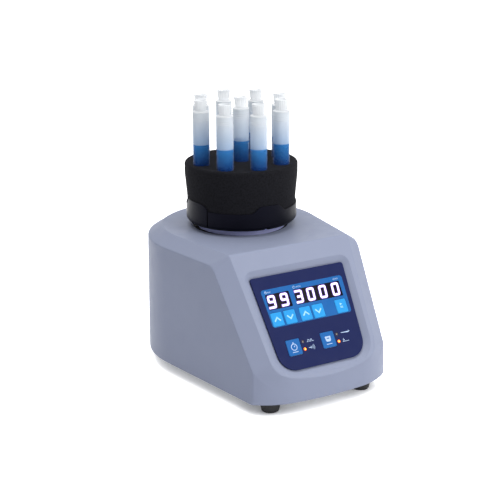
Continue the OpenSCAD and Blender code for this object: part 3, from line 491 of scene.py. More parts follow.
LED_ON = glow("indicator_amber_glow", (250, 120, 24), 0.9)
LED_CORE = glow("indicator_core_glow", (255, 226, 110), 1.0)
LED_OFF = surface("indicator_unlit", (58, 44, 52), 0.25, (400, 0.1), coat=0.4)
FOAM = foam_material("black_cell_foam", (21, 21, 25))
RETAINER = surface(
    "moulded_black_plastic", (10, 10, 15), 0.34, (80, 0.06), (1400, 0.06), 0.07, tint=(196, 200, 255))
# The platform is coloured lighter than its paint: painted light that makes up for the shade under the
# retainer's overhang.
PLATFORM = surface("platform_paint_lightened_for_shade", (176, 180, 224), 0.36, (60, 0.04), (1600, 0.03), 0.25)
# Tube wall: below the sample's level it takes the sample's blue, darker lower down as painted shade; just
# above the level a blue tint fades upwards, painted light from the sample in the frosted wall.
TUBE = frosted("frosted_tube_plastic_and_painted_light", [
    (LIQUID_Z - LIQUID_FADE, (24, 68, 140)), (LIQUID_Z, (64, 144, 214)),
    (LIQUID_Z + 1, (198, 221, 246)), (LIQUID_Z + 24, (244, 250, 255)),
], 0.5, 0.26)
CAP = frosted("milky_cap_plastic", [(0, (252, 254, 255))], 0.4, 0.4)
# The sample runs from dark low down to light at its surface: painted shade and painted light.
LIQUID = sample_liquid("blue_sample_liquid", LIQUID_Z - LIQUID_FADE, LIQUID_Z, (10, 44, 108), (34, 108, 182))
RUBBER = surface("black_rubber_skin", (24, 24, 26), 0.72, (120, 0.1), (900, 0.12))
BLACK = surface("black_inlet_plastic", (28, 28, 31), 0.45, (90, 0.06), (1500, 0.06))
ROCKER = surface("black_rocker_gloss", (20, 20, 23), 0.25, (120, 0.05), (1200, 0.02), coat=0.3)
ZINC = surface("zinc_plated_sheet", (178, 182, 188), 0.42, (45, 0.1), (700, 0.05), metal=1.0)
STEEL = surface("plated_screw_steel", (196, 198, 204), 0.3, (300, 0.08), (2500, 0.05), metal=1.0)
BRASS = surface("plated_contact", (205, 188, 140), 0.28, (300, 0.08), (2500, 0.04), metal=1.0)
ALUMINIUM = surface("machined_aluminium_face", (190, 193, 198), 0.36, (120, 0.05), metal=1.0)
MOTOR = surface("dark_motor_enamel", (62, 64, 70), 0.5, (70, 0.06), (1200, 0.06))
BOARD = surface("green_solder_mask", (26, 92, 56), 0.35, (160, 0.12), (2500, 0.04))
FILM = surface("circuit_polyester", (190, 194, 182), 0.4, (160, 0.05), (2500, 0.03))


# Camera: place, angles and focal length fitted to the photograph's edges

CAMERA_PLACE = (-0.61199, -1.01765, 0.48342)
CAMERA_AZIMUTH = math.radians(30.604)
CAMERA_ELEVATION = math.radians(17.169)
CAMERA_ROLL = math.radians(-0.357)
CAMERA_LENS, CAMERA_SENSOR = 93.466, 36


def make_camera():
    data = bpy.data.cameras.new("camera")
    data.sensor_width = CAMERA_SENSOR
    data.lens = CAMERA_LENS
    cam = new_object("camera", data)
    turn = Matrix.Rotation(-CAMERA_AZIMUTH, 4, "Z") @ Matrix.Rotation(math.pi / 2 - CAMERA_ELEVATION, 4, "X")
    cam.matrix_world = Matrix.Translation(CAMERA_PLACE) @ turn @ Matrix.Rotation(CAMERA_ROLL, 4, "Z")
    bpy.context.scene.camera = cam


# Housing

TURN_STEPS = (14, 8, 14)
SIDE_STEPS = (10, 8, 9)
BACK_STEPS = 40
LOWER_STEPS, EDGE_STEPS = 3, 6
UNDER_REACH, ROOF_REACH = 4, 12
RISE_STEP = 0.02


def side_x(y, inset):
    """Half width of the straight side at depth y."""
    back = BACK_R - inset
    return back * math.cos(TAPER) - (AXIS_Y - back * math.sin(TAPER) - y) * math.tan(TAPER)


def front_point(turn, inset):
    """Place on the bowed front, inset, where it faces a turn away from straight ahead: a flat arc and
    then a rounder one."""
    flat, full = FRONT_FLAT_R - inset, FRONT_ROUND_R - inset
    first = min(turn, FRONT_BREAK)
    x = flat * math.sin(first) + full * (math.sin(turn) - math.sin(first))
    y = FRONT_EDGE_Y + inset + flat * (1 - math.cos(first)) + full * (math.cos(first) - math.cos(turn))
    return x, y


def corner_angle(side_in, front_in):
    """Turn at which the front meets the straight side, found by halving."""
    low, high = 0.0, math.pi / 2 - TAPER
    for _ in range(40):
        middle = (low + high) / 2
        x, y = front_point(middle, front_in)
        low, high = (middle, high) if x < side_x(y, side_in) else (low, middle)
    return low


def knuckle_line(inset_top, inset_slope, radius):
    """Depth of the crease between top and slope, inset, and the reach of its rounding."""
    crease = KNUCKLE_Y + (inset_slope - inset_top * math.cos(SLOPE_A)) / math.sin(SLOPE_A)
    return crease, radius * math.tan(SLOPE_A / 2)


def top_profile(y, inset_top, inset_slope, radius):
    """Height of the top and slope at depth y, inset, with the knuckle rounded."""
    crease, reach = knuckle_line(inset_top, inset_slope, radius)
    flat = TOP_Z - inset_top
    if y >= crease + reach:
        return flat
    if y <= crease - reach * math.cos(SLOPE_A):
        return flat + (y - crease) * math.tan(SLOPE_A)
    return flat - radius + math.sqrt(max(radius ** 2 - (crease + reach - y) ** 2, 0))


def half_outline(side_in, front_in, corner_r, inset_top, inset_slope, knuckle_r, turns):
    """Stations of one half of the outline, from the front's middle to the back's middle: place and
    outward direction. The front and its corner have a station for each of the turns, the knuckle's
    rounding has its own."""
    inner = corner_angle(side_in + corner_r, front_in + corner_r)
    stations = []
    hub = front_point(inner, front_in + corner_r)
    for a in turns:
        n = (math.sin(a), -math.cos(a))
        if a <= inner:
            stations.append((front_point(a, front_in), n))
        else:
            stations.append(((hub[0] + corner_r * n[0], hub[1] + corner_r * n[1]), n))
    side_n = (math.cos(TAPER), -math.sin(TAPER))
    start = hub[1] + corner_r * side_n[1]
    end = AXIS_Y - (BACK_R - side_in) * math.sin(TAPER)
    crease, reach = knuckle_line(inset_top, inset_slope, knuckle_r)
    for y in spaced([start, crease - reach * math.cos(SLOPE_A), crease + reach, end], SIDE_STEPS):
        stations.append(((side_x(y, side_in), y), side_n))
    for k in range(BACK_STEPS + 1):
        a = lerp(-TAPER, math.pi / 2, k / BACK_STEPS)
        n = (math.cos(a), math.sin(a))
        stations.append((((BACK_R - side_in) * n[0], AXIS_Y + (BACK_R - side_in) * n[1]), n))
    return stations


def whole_outline(half):
    """Both halves of an outline, right side first and then the left side back to the front."""
    left = [((-p[0], p[1]), (-n[0], n[1])) for p, n in half[1:-1]]
    return half + left[::-1]


def bend_between(before, here, after, radius, steps):
    """Points of a fillet at a corner in space."""
    middle, first, last, fit = fillet(here, before - here, after - here, radius, WALL_SHARE)
    return [middle + first.slerp(last, k / steps).normalized() * fit for k in range(steps + 1)]


def shell_rows(rounded):
    """Rows of points up the housing's wall, outside with rounded edges or inside without."""
    inset = 0 if rounded else WALL
    slope_in = 0 if rounded else RECESS_DEPTH + WALL
    corner = FRONT_CORNER_R if rounded else FRONT_CORNER_R - WALL
    low_turn = corner_angle(inset + corner, inset + corner)
    top_turn = corner_angle(inset + CHAMFER_IN + LIP_CORNER_R, inset + FRONT_LIP + LIP_CORNER_R)
    turns = spaced([0, top_turn, low_turn, math.pi / 2 - TAPER], TURN_STEPS)
    low_knuckle = (inset + CHAMFER_DROP, slope_in + CHAMFER_DROP, SIDE_KNUCKLE_R)
    top_knuckle = (inset, slope_in, KNUCKLE_R)
    low_half = half_outline(inset, inset, corner, *low_knuckle, turns)
    top_half = half_outline(inset + CHAMFER_IN, inset + FRONT_LIP, LIP_CORNER_R, *top_knuckle, turns)
    columns = []
    for (p, n), (q, m) in zip(whole_outline(low_half), whole_outline(top_half)):
        draft = DRAFT * (1 - max(-n[1], 0))
        foot = Vector((p[0] + draft * n[0], p[1] + draft * n[1], EDGE_Z))
        shoulder = Vector((*p, max(top_profile(p[1], *low_knuckle), EDGE_Z + LEAST_SKIRT)))
        brow = Vector((*q, max(top_profile(q[1], *top_knuckle), EDGE_Z + 2 * LEAST_SKIRT)))
        if not rounded:
            columns.append([foot, shoulder, brow])
            continue
        ahead, behind = [top_profile(q[1] + step, *top_knuckle) for step in (RISE_STEP, -RISE_STEP)]
        rise = (ahead - behind) / (2 * RISE_STEP)
        inward = Vector((-m[0], -m[1], -m[1] * rise))
        under = foot - Vector((*n, 0)) * UNDER_REACH
        column = bend_between(under, foot, shoulder, LOWER_EDGE_R, LOWER_STEPS)
        column += bend_between(foot, shoulder, brow, SIDE_EDGE_R, EDGE_STEPS)
        column += bend_between(shoulder, brow, brow + inward * ROOF_REACH, TOP_EDGE_R, EDGE_STEPS)
        columns.append(column)
    return columns


def shell_faces(verts, columns, flip):
    """Joins columns of points into walls and a roof of strips that run straight across."""
    start = len(verts)
    count, rows = len(columns), len(columns[0])
    for column in columns:
        verts.extend(column)

    def at(i, k):
        return start + (i % count) * rows + k

    faces = [
        (at(i, k), at(i + 1, k), at(i + 1, k + 1), at(i, k + 1))
        for i in range(count) for k in range(rows - 1)
    ]
    top = rows - 1
    for i in range(count // 2):
        strip = [at(i, top), at(i + 1, top), at(-i - 1, top), at(-i, top)]
        faces.append(tuple(dict.fromkeys(strip)))
    return [f[::-1] for f in faces] if flip else faces


def housing_mesh():
    """Hollow shell: outer wall with soft edges, inner wall, and the rim between them."""
    verts, faces = [], []
    outer, inner = shell_rows(True), shell_rows(False)
    faces += shell_faces(verts, outer, False)
    first_inner = len(verts)
    faces += shell_faces(verts, inner, True)
    count, rows_out, rows_in = len(outer), len(outer[0]), len(inner[0])
    for i in range(count):
        n = (i + 1) % count
        faces.append((i * rows_out, first_inner + i * rows_in, first_inner + n * rows_in, n * rows_out))
    return tidy_mesh(mesh_from("housing_shell", [v * MM for v in verts], faces), 1e-7)


def overlay_outline(grow):
    """Outline of the panel overlay on the slope, grown by a margin."""
    top, low = grow - OVERLAY_TOP, -OVERLAY_TOP - OVERLAY_LEN - grow
    half_top, half_low = OVERLAY_TOP_W / 2 + grow, OVERLAY_LOW_W / 2 + grow
    top_r, low_r = OVERLAY_TOP_R + grow, OVERLAY_LOW_R + grow
    return soften([
        (-half_low, low, low_r), (half_low, low, low_r), (half_top, top, top_r), (-half_top, top, top_r),
    ], OVERLAY_STEPS, closed=True)


# Panel sizes in millimetres, the same values as in the part's source
OVERLAY_TOP, OVERLAY_LEN = 24.5, 89.5
OVERLAY_TOP_W, OVERLAY_LOW_W = 100.8, 89.6
OVERLAY_TOP_R, OVERLAY_LOW_R = 2.5, 17.0
OVERLAY_LOW_LEVEL, OVERLAY_FACE = -3.6, -2.2
DIGIT_V = 48.8
TIME_U, TIME_W = -27.5, 25.0
SPEED_U, SPEED_W = 15.0, 50.3
WINDOW_H = 14.6
UPPER_V, UPPER_KEY = 65.4, (11.8, 12.7)
LOWER_V, LOWER_KEY = 93.4, (14.2, 14.8)
KEY_R = 1.2
KEY_GAP = 0.2
KEY_TRAVEL = 0.4
LED_U, LED_V, LED_R = (-16.4, 20.3), (90.0, 97.0), 1.5
KEYS = {
    "key_time_up": (-34.9, UPPER_V, UPPER_KEY), "key_time_down": (-21.1, UPPER_V, UPPER_KEY),
    "key_speed_up": (-4.6, UPPER_V, UPPER_KEY), "key_speed_down": (9.2, UPPER_V, UPPER_KEY),
    "key_start_stop": (34.4, UPPER_V, UPPER_KEY),
    "key_timer": (-27.0, LOWER_V, LOWER_KEY), "key_mode": (9.7, LOWER_V, LOWER_KEY),
}
WINDOWS = [(TIME_U, TIME_W), (SPEED_U, SPEED_W)]

# Recess, back pad, head opening and window cuts, in millimetres
OVERLAY_STEPS = 10
RECESS_DEPTH, RECESS_BEVEL, RECESS_FOOT, RECESS_ROLL = 4.0, 6.5, 0.2, 0.9
PAD_DEPTH, PAD_Z, PAD_HALF_H, PAD_EDGE = 5.0, 58.0, 36, 0.5
INLET_HALF_W, INLET_HALF_H, INLET_REACH = 13.9, 24.3, 12
OPENING_R, OPENING_EDGE_R, OPENING_FLARE, OPENING_DEPTH = 46.0, 1.8, 4, 12
WINDOW_R, WINDOW_CUT_GAP, WINDOW_CUT_H, WINDOW_CUT_LEVELS = 0.6, 0.6, 19.6, (-9, -3)


def recess_mesh():
    """The panel's recess: a flat floor, a bevelled wall and a softly rolled upper edge."""
    profile = soften([
        (-2, -RECESS_DEPTH, 0), (RECESS_FOOT, -RECESS_DEPTH, 0.4), (RECESS_BEVEL, -0.05, RECESS_ROLL),
        (RECESS_BEVEL + RECESS_ROLL, 0.06, 0), (RECESS_BEVEL + RECESS_ROLL, 3, 0),
    ], 6)
    rings = [[(*p, z) for p in overlay_outline(max(grow, RECESS_FOOT))] for grow, z in profile[1:]]
    return on_slope(stack("recess", rings))


def make_housing():
    """Shell with a flat pad and the inlet's cut at the back, the panel's recess and the head's opening."""
    shell = add_object("housing_shell", housing_mesh(), PAINT, "housing", ["upper_housing"])
    pad_y = AXIS_Y + BACK_R - PAD_DEPTH
    half = math.sqrt(BACK_R ** 2 - (BACK_R - PAD_DEPTH) ** 2) - PAD_EDGE
    low, high = PAD_Z - PAD_HALF_H, PAD_Z + PAD_HALF_H
    boolean(shell, box_mesh((-half, pad_y - WALL, low), (half, pad_y + PAD_EDGE, high)), "UNION")
    boolean(shell, box_mesh((-2 * half, pad_y, low), (2 * half, pad_y + 4 * PAD_DEPTH, high)))
    boolean(shell, box_mesh(
        (-INLET_HALF_W, pad_y - INLET_REACH, PAD_Z - INLET_HALF_H),
        (INLET_HALF_W, pad_y + INLET_REACH, PAD_Z + INLET_HALF_H),
    ))
    boolean(shell, recess_mesh())
    foot, above, wide = TOP_Z - OPENING_DEPTH, TOP_Z + OPENING_DEPTH / 2, OPENING_R + OPENING_FLARE
    flare = soften([
        (0, foot, 0), (OPENING_R, foot, 0), (OPENING_R, TOP_Z + 0.03, OPENING_EDGE_R),
        (wide, TOP_Z + 0.06, 0), (wide, above, 0), (0, above, 0),
    ], 6)
    boolean(shell, lathe("opening", flare, (0, AXIS_Y), 128))
    for u, width in WINDOWS:
        outline = rect(u, DIGIT_V, width + WINDOW_CUT_GAP, WINDOW_CUT_H, WINDOW_R)
        boolean(shell, on_slope(plates("window", [(outline, [])], *WINDOW_CUT_LEVELS)))
    crisp(shell, 40)


# Panel

FILM_EDGE = 0.18
FIELD_CORNERS, FIELD_R = ((-41.6, -72.5), (43.4, -72.5), (44.6, -36.7), (-43.3, -36.7)), 2.6


def print_on(name, shapes, low, thick, material, body="housing"):
    """Printed or lit marks: thin plates on a face of the slope."""
    piece = add_object(name, on_slope(plates(name, shapes, low, low + thick)), material, body)
    for polygon in piece.data.polygons:
        polygon.use_smooth = False


def panel_holes(keys):
    """Openings for the display windows and the keys."""
    holes = [rect(u, DIGIT_V, width, WINDOW_H, WINDOW_R) for u, width in WINDOWS]
    grow = 2 * KEY_GAP
    return holes + [rect(u, v, w + grow, h + grow, KEY_R + KEY_GAP) for u, v, (w, h) in keys]


def make_overlay():
    holes = panel_holes(KEYS.values()) + [disc(u, v, LED_R + 0.05, 32) for u in LED_U for v in LED_V]
    film = plates("panel_overlay", [(overlay_outline(0), holes)], OVERLAY_LOW_LEVEL, OVERLAY_FACE, FILM_EDGE)
    crisp(add_object("panel_overlay", on_slope(film), NAVY, "housing", ["control_overlay"]))
    field = soften([(*corner, FIELD_R) for corner in FIELD_CORNERS], 6, closed=True)
    holes = panel_holes([key for key in KEYS.values() if key[1] == UPPER_V])
    print_on("display_field", [(field, holes)], OVERLAY_FACE - 0.02, 0.06, FIELD)


# Digits in millimetres; a bar runs between two points in units of half a figure
READING = [("9", -35.0), ("9", -21.6), ("3", -5.9), ("0", 6.9), ("0", 20.1), ("0", 34.0)]
FIGURE_W, FIGURE_H, FIGURE_LEAN = 6.0, 10.4, math.tan(math.radians(4))
STROKE, STROKE_EDGE, UNLIT_SHARE = 1.6, 0.6, 0.8
BEND_R, END_R, ARM = 1.1, 0.3, 0.7
BARS = {"e": ((-1, 0), (-1, -1)), "f": ((-1, 1), (-1, 0)), "g": ((-1, 0), (1, 0))}
UNLIT = {"9": "e", "3": "ef", "0": "g"}
LENS_GAP, LENS_T, LENS_DROP, LENS_EDGE = 0.1, 1.2, 0.02, 0.06
DIGIT_LEVEL = OVERLAY_FACE - 0.03


def figure_shape(figure, u, width):
    """Outline and hole of one figure made of bars, with soft bends and a slight lean."""
    x, y, h = FIGURE_W / 2, FIGURE_H / 2, width / 2
    far, near, end = BEND_R + h, max(BEND_R - h, END_R), END_R

    def drawn(points):
        return soften([(u + a + b * FIGURE_LEAN, b - DIGIT_V, r) for a, b, r in points], 5, closed=True)

    foot = [(x + h, y + h, far), (x + h, -y - h, far), (-x - h, -y - h, end), (-x - h, h - y, end)]
    foot.append((x - h, h - y, near))
    if figure == "3":
        arms = [(x - h, -h, near), (-x * ARM, -h, end), (-x * ARM, h, end), (x - h, h, near)]
        arms.append((x - h, y - h, near))
        return drawn([(-x - h, y - h, end), (-x - h, y + h, end)] + foot + arms), []
    if figure == "9":
        hole = [(h - x, h, near), (x - h, h, near), (x - h, y - h, near), (h - x, y - h, near)]
        return drawn([(-x - h, -h, far), (-x - h, y + h, far)] + foot + [(x - h, -h, near)]), [drawn(hole)]
    hole = drawn([(s * (x - h), t * (y - h), near) for s, t in RING])
    return drawn([(s * (x + h), t * (y + h), far) for s, t in RING]), [hole]


def unlit_bar(u, start, end):
    def place(p):
        b = p[1] * FIGURE_H / 2
        return Vector((u + p[0] * FIGURE_W / 2 + b * FIGURE_LEAN, b - DIGIT_V))
    a, b = place(start), place(end)
    trim = (b - a).normalized() * STROKE * UNLIT_SHARE
    return ribbon([tuple(a + trim), tuple(b - trim)], STROKE * UNLIT_SHARE)


def make_displays():
    lenses = [(rect(u, DIGIT_V, width - LENS_GAP, WINDOW_H - LENS_GAP, WINDOW_R), []) for u, width in WINDOWS]
    lens = plates("display_windows", lenses, OVERLAY_FACE - LENS_T, OVERLAY_FACE - LENS_DROP, LENS_EDGE)
    add_object("display_windows", on_slope(lens), LENS, "housing", ["display_lenses"])
    dark = [unlit_bar(u, *BARS[bar]) for figure, u in READING for bar in UNLIT[figure]]
    print_on("digits_unlit", dark, DIGIT_LEVEL, 0.04, GHOST)
    for name, width, thick, material in (
        ("digits_glow_edge", STROKE + 2 * STROKE_EDGE, 0.06, HALO), ("digits_lit", STROKE, 0.1, DIGIT),
    ):
        shapes = [figure_shape(figure, u, width) for figure, u in READING]
        print_on(name, shapes, DIGIT_LEVEL, thick, material)


def chevron(u, v, upward, width, height, stroke):
    tip = height / 2 if upward else -height / 2
    return [ribbon([(u - width / 2, -v - tip), (u, -v + tip), (u + width / 2, -v - tip)], stroke)]


def arc_points(u, v, radius, start, end, count=24):
    angles = [math.radians(lerp(start, end, k / (count - 1))) for k in range(count)]
    return [(u + radius * math.cos(a), -v + radius * math.sin(a)) for a in angles]


def disc(u, v, radius, count):
    return arc_points(u, v, radius, 0, 360 * (1 - 1 / count), count)


def drawn_at(u, v, size, *points):
    """Points of a sign, given in units of its size."""
    return [(u + size * a, -v + size * b) for a, b in points]


def stopwatch(u, v, size):
    """Round dial, crown and one hand, with a line below."""
    ring = ribbon(arc_points(u, v, size, 0, 345), size * 0.24, True)
    crown = ribbon(drawn_at(u, v, size, (0, 1.1), (0, 1.5)), size * 0.4)
    hand = ribbon(drawn_at(u, v, size, (0, 0), (0.42, 0.42)), size * 0.22)
    line = ribbon(drawn_at(u, v, size, (-1, -1.6), (1, -1.6)), size * 0.22)
    return [ring, crown, hand, line]


def touch_mark(u, v, size):
    """A cup with a slot, and a line below."""
    corners = drawn_at(u, v, size, (-0.85, -0.5), (0.85, -0.5), (1.05, 1.2), (-1.05, 1.2))
    cup = soften([(*p, size * r) for p, r in zip(corners, (0.5, 0.5, 0.2, 0.2))], 5, closed=True)
    slot = ribbon(drawn_at(u, v, size, (-0.5, 0.55), (0.5, 0.55)), size * 0.3)[0]
    line = ribbon(drawn_at(u, v, size, (-1, -1.3), (1, -1.3)), size * 0.22)
    return [(cup, [slot]), line]


def start_stop_mark(u, v, size):
    """A solid triangle over two bars."""
    triangle = drawn_at(u, v, size, (-0.55, 0.1), (0.7, 0.72), (-0.55, 1.35))
    bars = [ribbon(drawn_at(u, v, size, (-0.7, -k), (0.7, -k)), size * 0.3) for k in (0.45, 0.95)]
    return [(triangle, [])] + bars


CHEVRON = (6.2, 3.4, 1.3)
KEY_SIGNS = {
    "key_start_stop": (start_stop_mark, -0.4, 2.0), "key_timer": (stopwatch, -0.2, 2.9),
    "key_mode": (touch_mark, 0.3, 2.9),
}
KEY_LOW, KEY_HIGH = OVERLAY_LOW_LEVEL + KEY_TRAVEL + 0.06, OVERLAY_FACE + 0.25
KEY_EDGE, KEY_EDGE_STEPS = 0.22, 3


def make_keys():
    """Seven pads, each with its sign: a chevron, or a drawing with a drop and a size."""
    for name, (u, v, (w, h)) in KEYS.items():
        upper = v == UPPER_V
        pad = plates("pad", [(rect(u, v, w, h, KEY_R), [])], KEY_LOW, KEY_HIGH, KEY_EDGE, KEY_EDGE_STEPS)
        crisp(add_object(name + "_pad", on_slope(pad), CYAN if upper else BLUE, name, [name]), 50)
        if name in KEY_SIGNS:
            draw, drop, size = KEY_SIGNS[name]
            mark = draw(u, v + drop, size)
        else:
            mark = chevron(u, v, name.endswith("_up"), *CHEVRON)
        ink = PALE_INK if upper else WHITE_INK
        print_on(name + "_mark", mark, KEY_HIGH - 0.02, 0.05, ink, name)


# Small signs in millimetres: rows of ticks as (u, v, lines, height), strokes as points and a width
CAPTION_V, CLOCK_U, TURN_U = 39.4, -38.6, -8.6
TICK_PITCH, TICK_STROKE = 0.95, 0.34
TICK_ROWS = ((-36.6, CAPTION_V, 4, 1.5), (-6.4, CAPTION_V, 6, 1.5), (34.6, 39.2, 6, 1.6))
PULSE_U, PULSE_V, PULSE_STROKE = (-12.6, -11.3, -9.9, -8.5, -7.1, -5.2), (-91.0, -89.3), 0.42
SOUND_U, SOUND_V, SOUND_RS = -9.4, 96.6, (1.2, 2.2, 3.2)
SPEAKER = ([(-12.4, -96.6), (-10.6, -96.6), (-9.6, -95.7), (-9.6, -97.5), (-10.6, -96.8)], 0.42)
STEADY = (([(24.8, -89.7), (34.2, -89.7)], 0.5), ([(32.9, -88.7), (34.4, -89.7), (32.9, -90.7)], 0.4))
PRESS = (
    ([(25.6, -95.2), (25.6, -97.0)], 0.45), ([(24.6, -96.3), (25.6, -97.3), (26.6, -96.3)], 0.38),
    ([(24.2, -98.1), (31.0, -98.1)], 0.45),
)


def ticks(u, v, count, tall):
    """Row of short upright lines, every other one taller."""
    places = [(u + k * TICK_PITCH, tall * (0.2 + 0.3 * (k % 2))) for k in range(count)]
    return [ribbon([(x, -v - tall / 2), (x, -v + rise)], TICK_STROKE) for x, rise in places]


def make_labels():
    """Small generic signs where the panel carries its captions."""
    shapes = [
        ribbon(arc_points(CLOCK_U, CAPTION_V, 1.0, 0, 345, 16), 0.34, True),
        ribbon([(CLOCK_U, -CAPTION_V), (CLOCK_U, -38.7)], 0.3),
        ribbon(arc_points(TURN_U, CAPTION_V, 1.0, 60, 330, 16), 0.36),
        ribbon([(-8.7, -38.1), (-7.6, -38.5), (-8.1, -39.4)], 0.32),
    ]
    for row in TICK_ROWS:
        shapes += ticks(*row)
    runs = zip(PULSE_U, PULSE_U[1:], PULSE_V * 3)
    shapes.append(ribbon([(u, v) for start, end, v in runs for u in (start, end)], PULSE_STROKE))
    shapes.append(ribbon(*SPEAKER))
    shapes += [ribbon(arc_points(SOUND_U, SOUND_V, r, -48, 48, 10), 0.36) for r in SOUND_RS]
    shapes += [ribbon(*stroke) for stroke in STEADY + PRESS]
    print_on("panel_signs", shapes, OVERLAY_FACE + 0.03, 0.05, WHITE_INK)


BEAD_LOW, BEAD_EDGE_R, BEAD_RISE = -6, 0.5, 0.25
CORE_R, CORE_OFF = 0.62, 0.1


def make_indicators():
    """Four beads in two columns, the lower ones lit."""
    profile = soften([
        (0, BEAD_LOW, 0), (LED_R, BEAD_LOW, 0), (LED_R, OVERLAY_FACE - 0.1, BEAD_EDGE_R),
        (0, OVERLAY_FACE + BEAD_RISE, 0),
    ], 5)
    for k, u in enumerate(LED_U):
        for m, v in enumerate(LED_V):
            lit = m == 1
            bead = lathe("bead", profile, steps=32)
            bead.transform(Matrix.Scale(1 / MM, 4))
            bead.transform(Matrix.Translation((u, -v, 0)))
            name = "indicator_%d_%s" % (k + 1, "lit" if lit else "off")
            piece = add_object(name, on_slope(bead), LED_ON if lit else LED_OFF, "housing")
            if (k, m) == (0, 0):
                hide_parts("indicator_leds")
            if lit:
                core = [(disc(u - CORE_OFF, v, CORE_R, 20), [])]
                print_on(name + "_core", core, OVERLAY_FACE + 0.12, 0.1, LED_CORE)


# Head

HEAD, PLATFORM_R, PLATFORM_LOW, PLATFORM_TOP = span("head_platform")
_, RETAINER_R, _, TAB_TOP = span("tube_retainer")
PLATFORM_T, PLATFORM_SKIRT = 4.6, 2.5
RIM_TOP = PLATFORM_TOP + 17.0
BOWL_R = RETAINER_R - 2.1
BOWL_RISE = 2.6
RETAINER_FLOOR = 3.4
RETAINER_WALL = 1.0
WALL_LOW = PLATFORM_TOP + BOWL_RISE
TAB_BASE = WALL_LOW + 4
TAB_LEVELS = 5
FLOOR_BEVEL = 1.2
TAB_FLAT, TAB_FOOT = math.radians(9.5), math.radians(20.5)
BESIDE_SEAM = 0.1
SEAM_ANGLE, SEAM_HALF, SEAM_DEPTH = math.radians(202.6), 0.6, 1.1
NOTCH_TURN, NOTCH_HALF, NOTCH_H = -3.5, 1.8, 2.2


def tab_rise(angle):
    """Share of the tab's height at an angle round the head: four tabs with S-shaped shoulders, one of
    them rounded off towards the seam instead."""
    quarter = math.pi / 2
    off = (angle + quarter / 2) % quarter - quarter / 2
    seam_off = (SEAM_ANGLE + quarter / 2) % quarter - quarter / 2
    beside_seam = abs(angle % (2 * math.pi) - off - SEAM_ANGLE + seam_off) < BESIDE_SEAM
    if beside_seam and off > TAB_FLAT:
        return math.sqrt(1 - min((off - TAB_FLAT) / (seam_off - TAB_FLAT), 1) ** 2)
    return smooth((TAB_FOOT - abs(off)) / (TAB_FOOT - TAB_FLAT))


def make_platform():
    """Painted disc whose rim hangs down into the housing's opening."""
    under, inner = PLATFORM_TOP - PLATFORM_T, PLATFORM_R - PLATFORM_SKIRT
    profile = soften([
        (0, under, 0), (inner, under, 0.6), (inner, PLATFORM_LOW, 0.4), (PLATFORM_R, PLATFORM_LOW, 0.8),
        (PLATFORM_R, PLATFORM_TOP, 1.0), (0, PLATFORM_TOP, 0),
    ], 6)
    mesh = lathe("platform_disc", profile, HEAD, 128)
    crisp(add_object("platform_disc", mesh, PLATFORM, "head", ["head_platform"]), 50)


def retainer_profile(inner, half):
    """Outline of the cup: bowl, wall up to a round rim, and down to the floor inside."""
    floor = PLATFORM_TOP + RETAINER_FLOOR
    outside = soften([
        (BOWL_R - 2, PLATFORM_TOP, 0), (BOWL_R, PLATFORM_TOP, 1.0), (RETAINER_R, WALL_LOW, 2.4),
        (RETAINER_R, TAB_BASE, 0),
    ], 6)
    angles = [math.radians(a) for a in range(0, 181, 30)]
    bead = [(RETAINER_R - half + half * math.cos(a), RIM_TOP + half * (math.sin(a) - 1)) for a in angles]
    rise = [(RETAINER_R, lerp(TAB_BASE, RIM_TOP - half, k / TAB_LEVELS)) for k in range(TAB_LEVELS)]
    fall = [(inner, lerp(RIM_TOP - half, TAB_BASE, k / TAB_LEVELS)) for k in range(1, TAB_LEVELS + 1)]
    foot = [(inner, floor + FLOOR_BEVEL), (inner - FLOOR_BEVEL, floor), (0, floor)]
    return [(0, PLATFORM_TOP)] + outside[:-1] + rise + bead + fall + foot


def make_retainer():
    """Moulded cup with a thin wall, four tabs, a seam beside one and a notch under each."""
    inner, half = RETAINER_R - RETAINER_WALL, RETAINER_WALL / 2
    mesh = lathe("tube_retainer_moulding", retainer_profile(inner, half), HEAD, 384)
    for vertex in mesh.vertices:
        p = vertex.co / MM
        x, y = p.x - HEAD[0], p.y - HEAD[1]
        if p.z > TAB_BASE and math.hypot(x, y) > inner - 0.2:
            share = min((p.z - TAB_BASE) / (RIM_TOP - half - TAB_BASE), 1)
            p.z += (TAB_TOP - RIM_TOP) * tab_rise(math.atan2(y, x)) * share
        vertex.co = p * MM
    piece = add_object(
        "tube_retainer_moulding", mesh, RETAINER, "head", ["tube_retainer"])
    hub = Matrix.Translation((HEAD[0] * MM, HEAD[1] * MM, 0))
    under, outside = PLATFORM_TOP - 1, RETAINER_R + 2
    seam = box_mesh((RETAINER_R - SEAM_DEPTH, -SEAM_HALF, under), (outside, SEAM_HALF, TAB_TOP))
    seam.transform(hub @ Matrix.Rotation(SEAM_ANGLE, 4, "Z"))
    boolean(piece, seam)
    for k in range(4):
        notch = box_mesh((BOWL_R - 3, -NOTCH_HALF, under), (outside, NOTCH_HALF, PLATFORM_TOP + NOTCH_H))
        notch.transform(hub @ Matrix.Rotation(math.radians(90 * k + NOTCH_TURN), 4, "Z"))
        boolean(piece, notch)
    crisp(piece, 45)


def round_bottom(radius, low, steps=8):
    """Half of a round bottom, from the axis outwards."""
    angles = [math.pi / 2 * k / steps for k in range(steps + 1)]
    return [(radius * math.sin(a), low + radius * (1 - math.cos(a))) for a in angles]


TUBES = range(1, 10)
FOAM_GAP, HOLE_GAP = 0.1, 0.15
FOAM_SHOULDER = 11
HOLE_EDGE_R, HOLE_FLARE, HOLE_ABOVE = 0.7, 2.5, 4


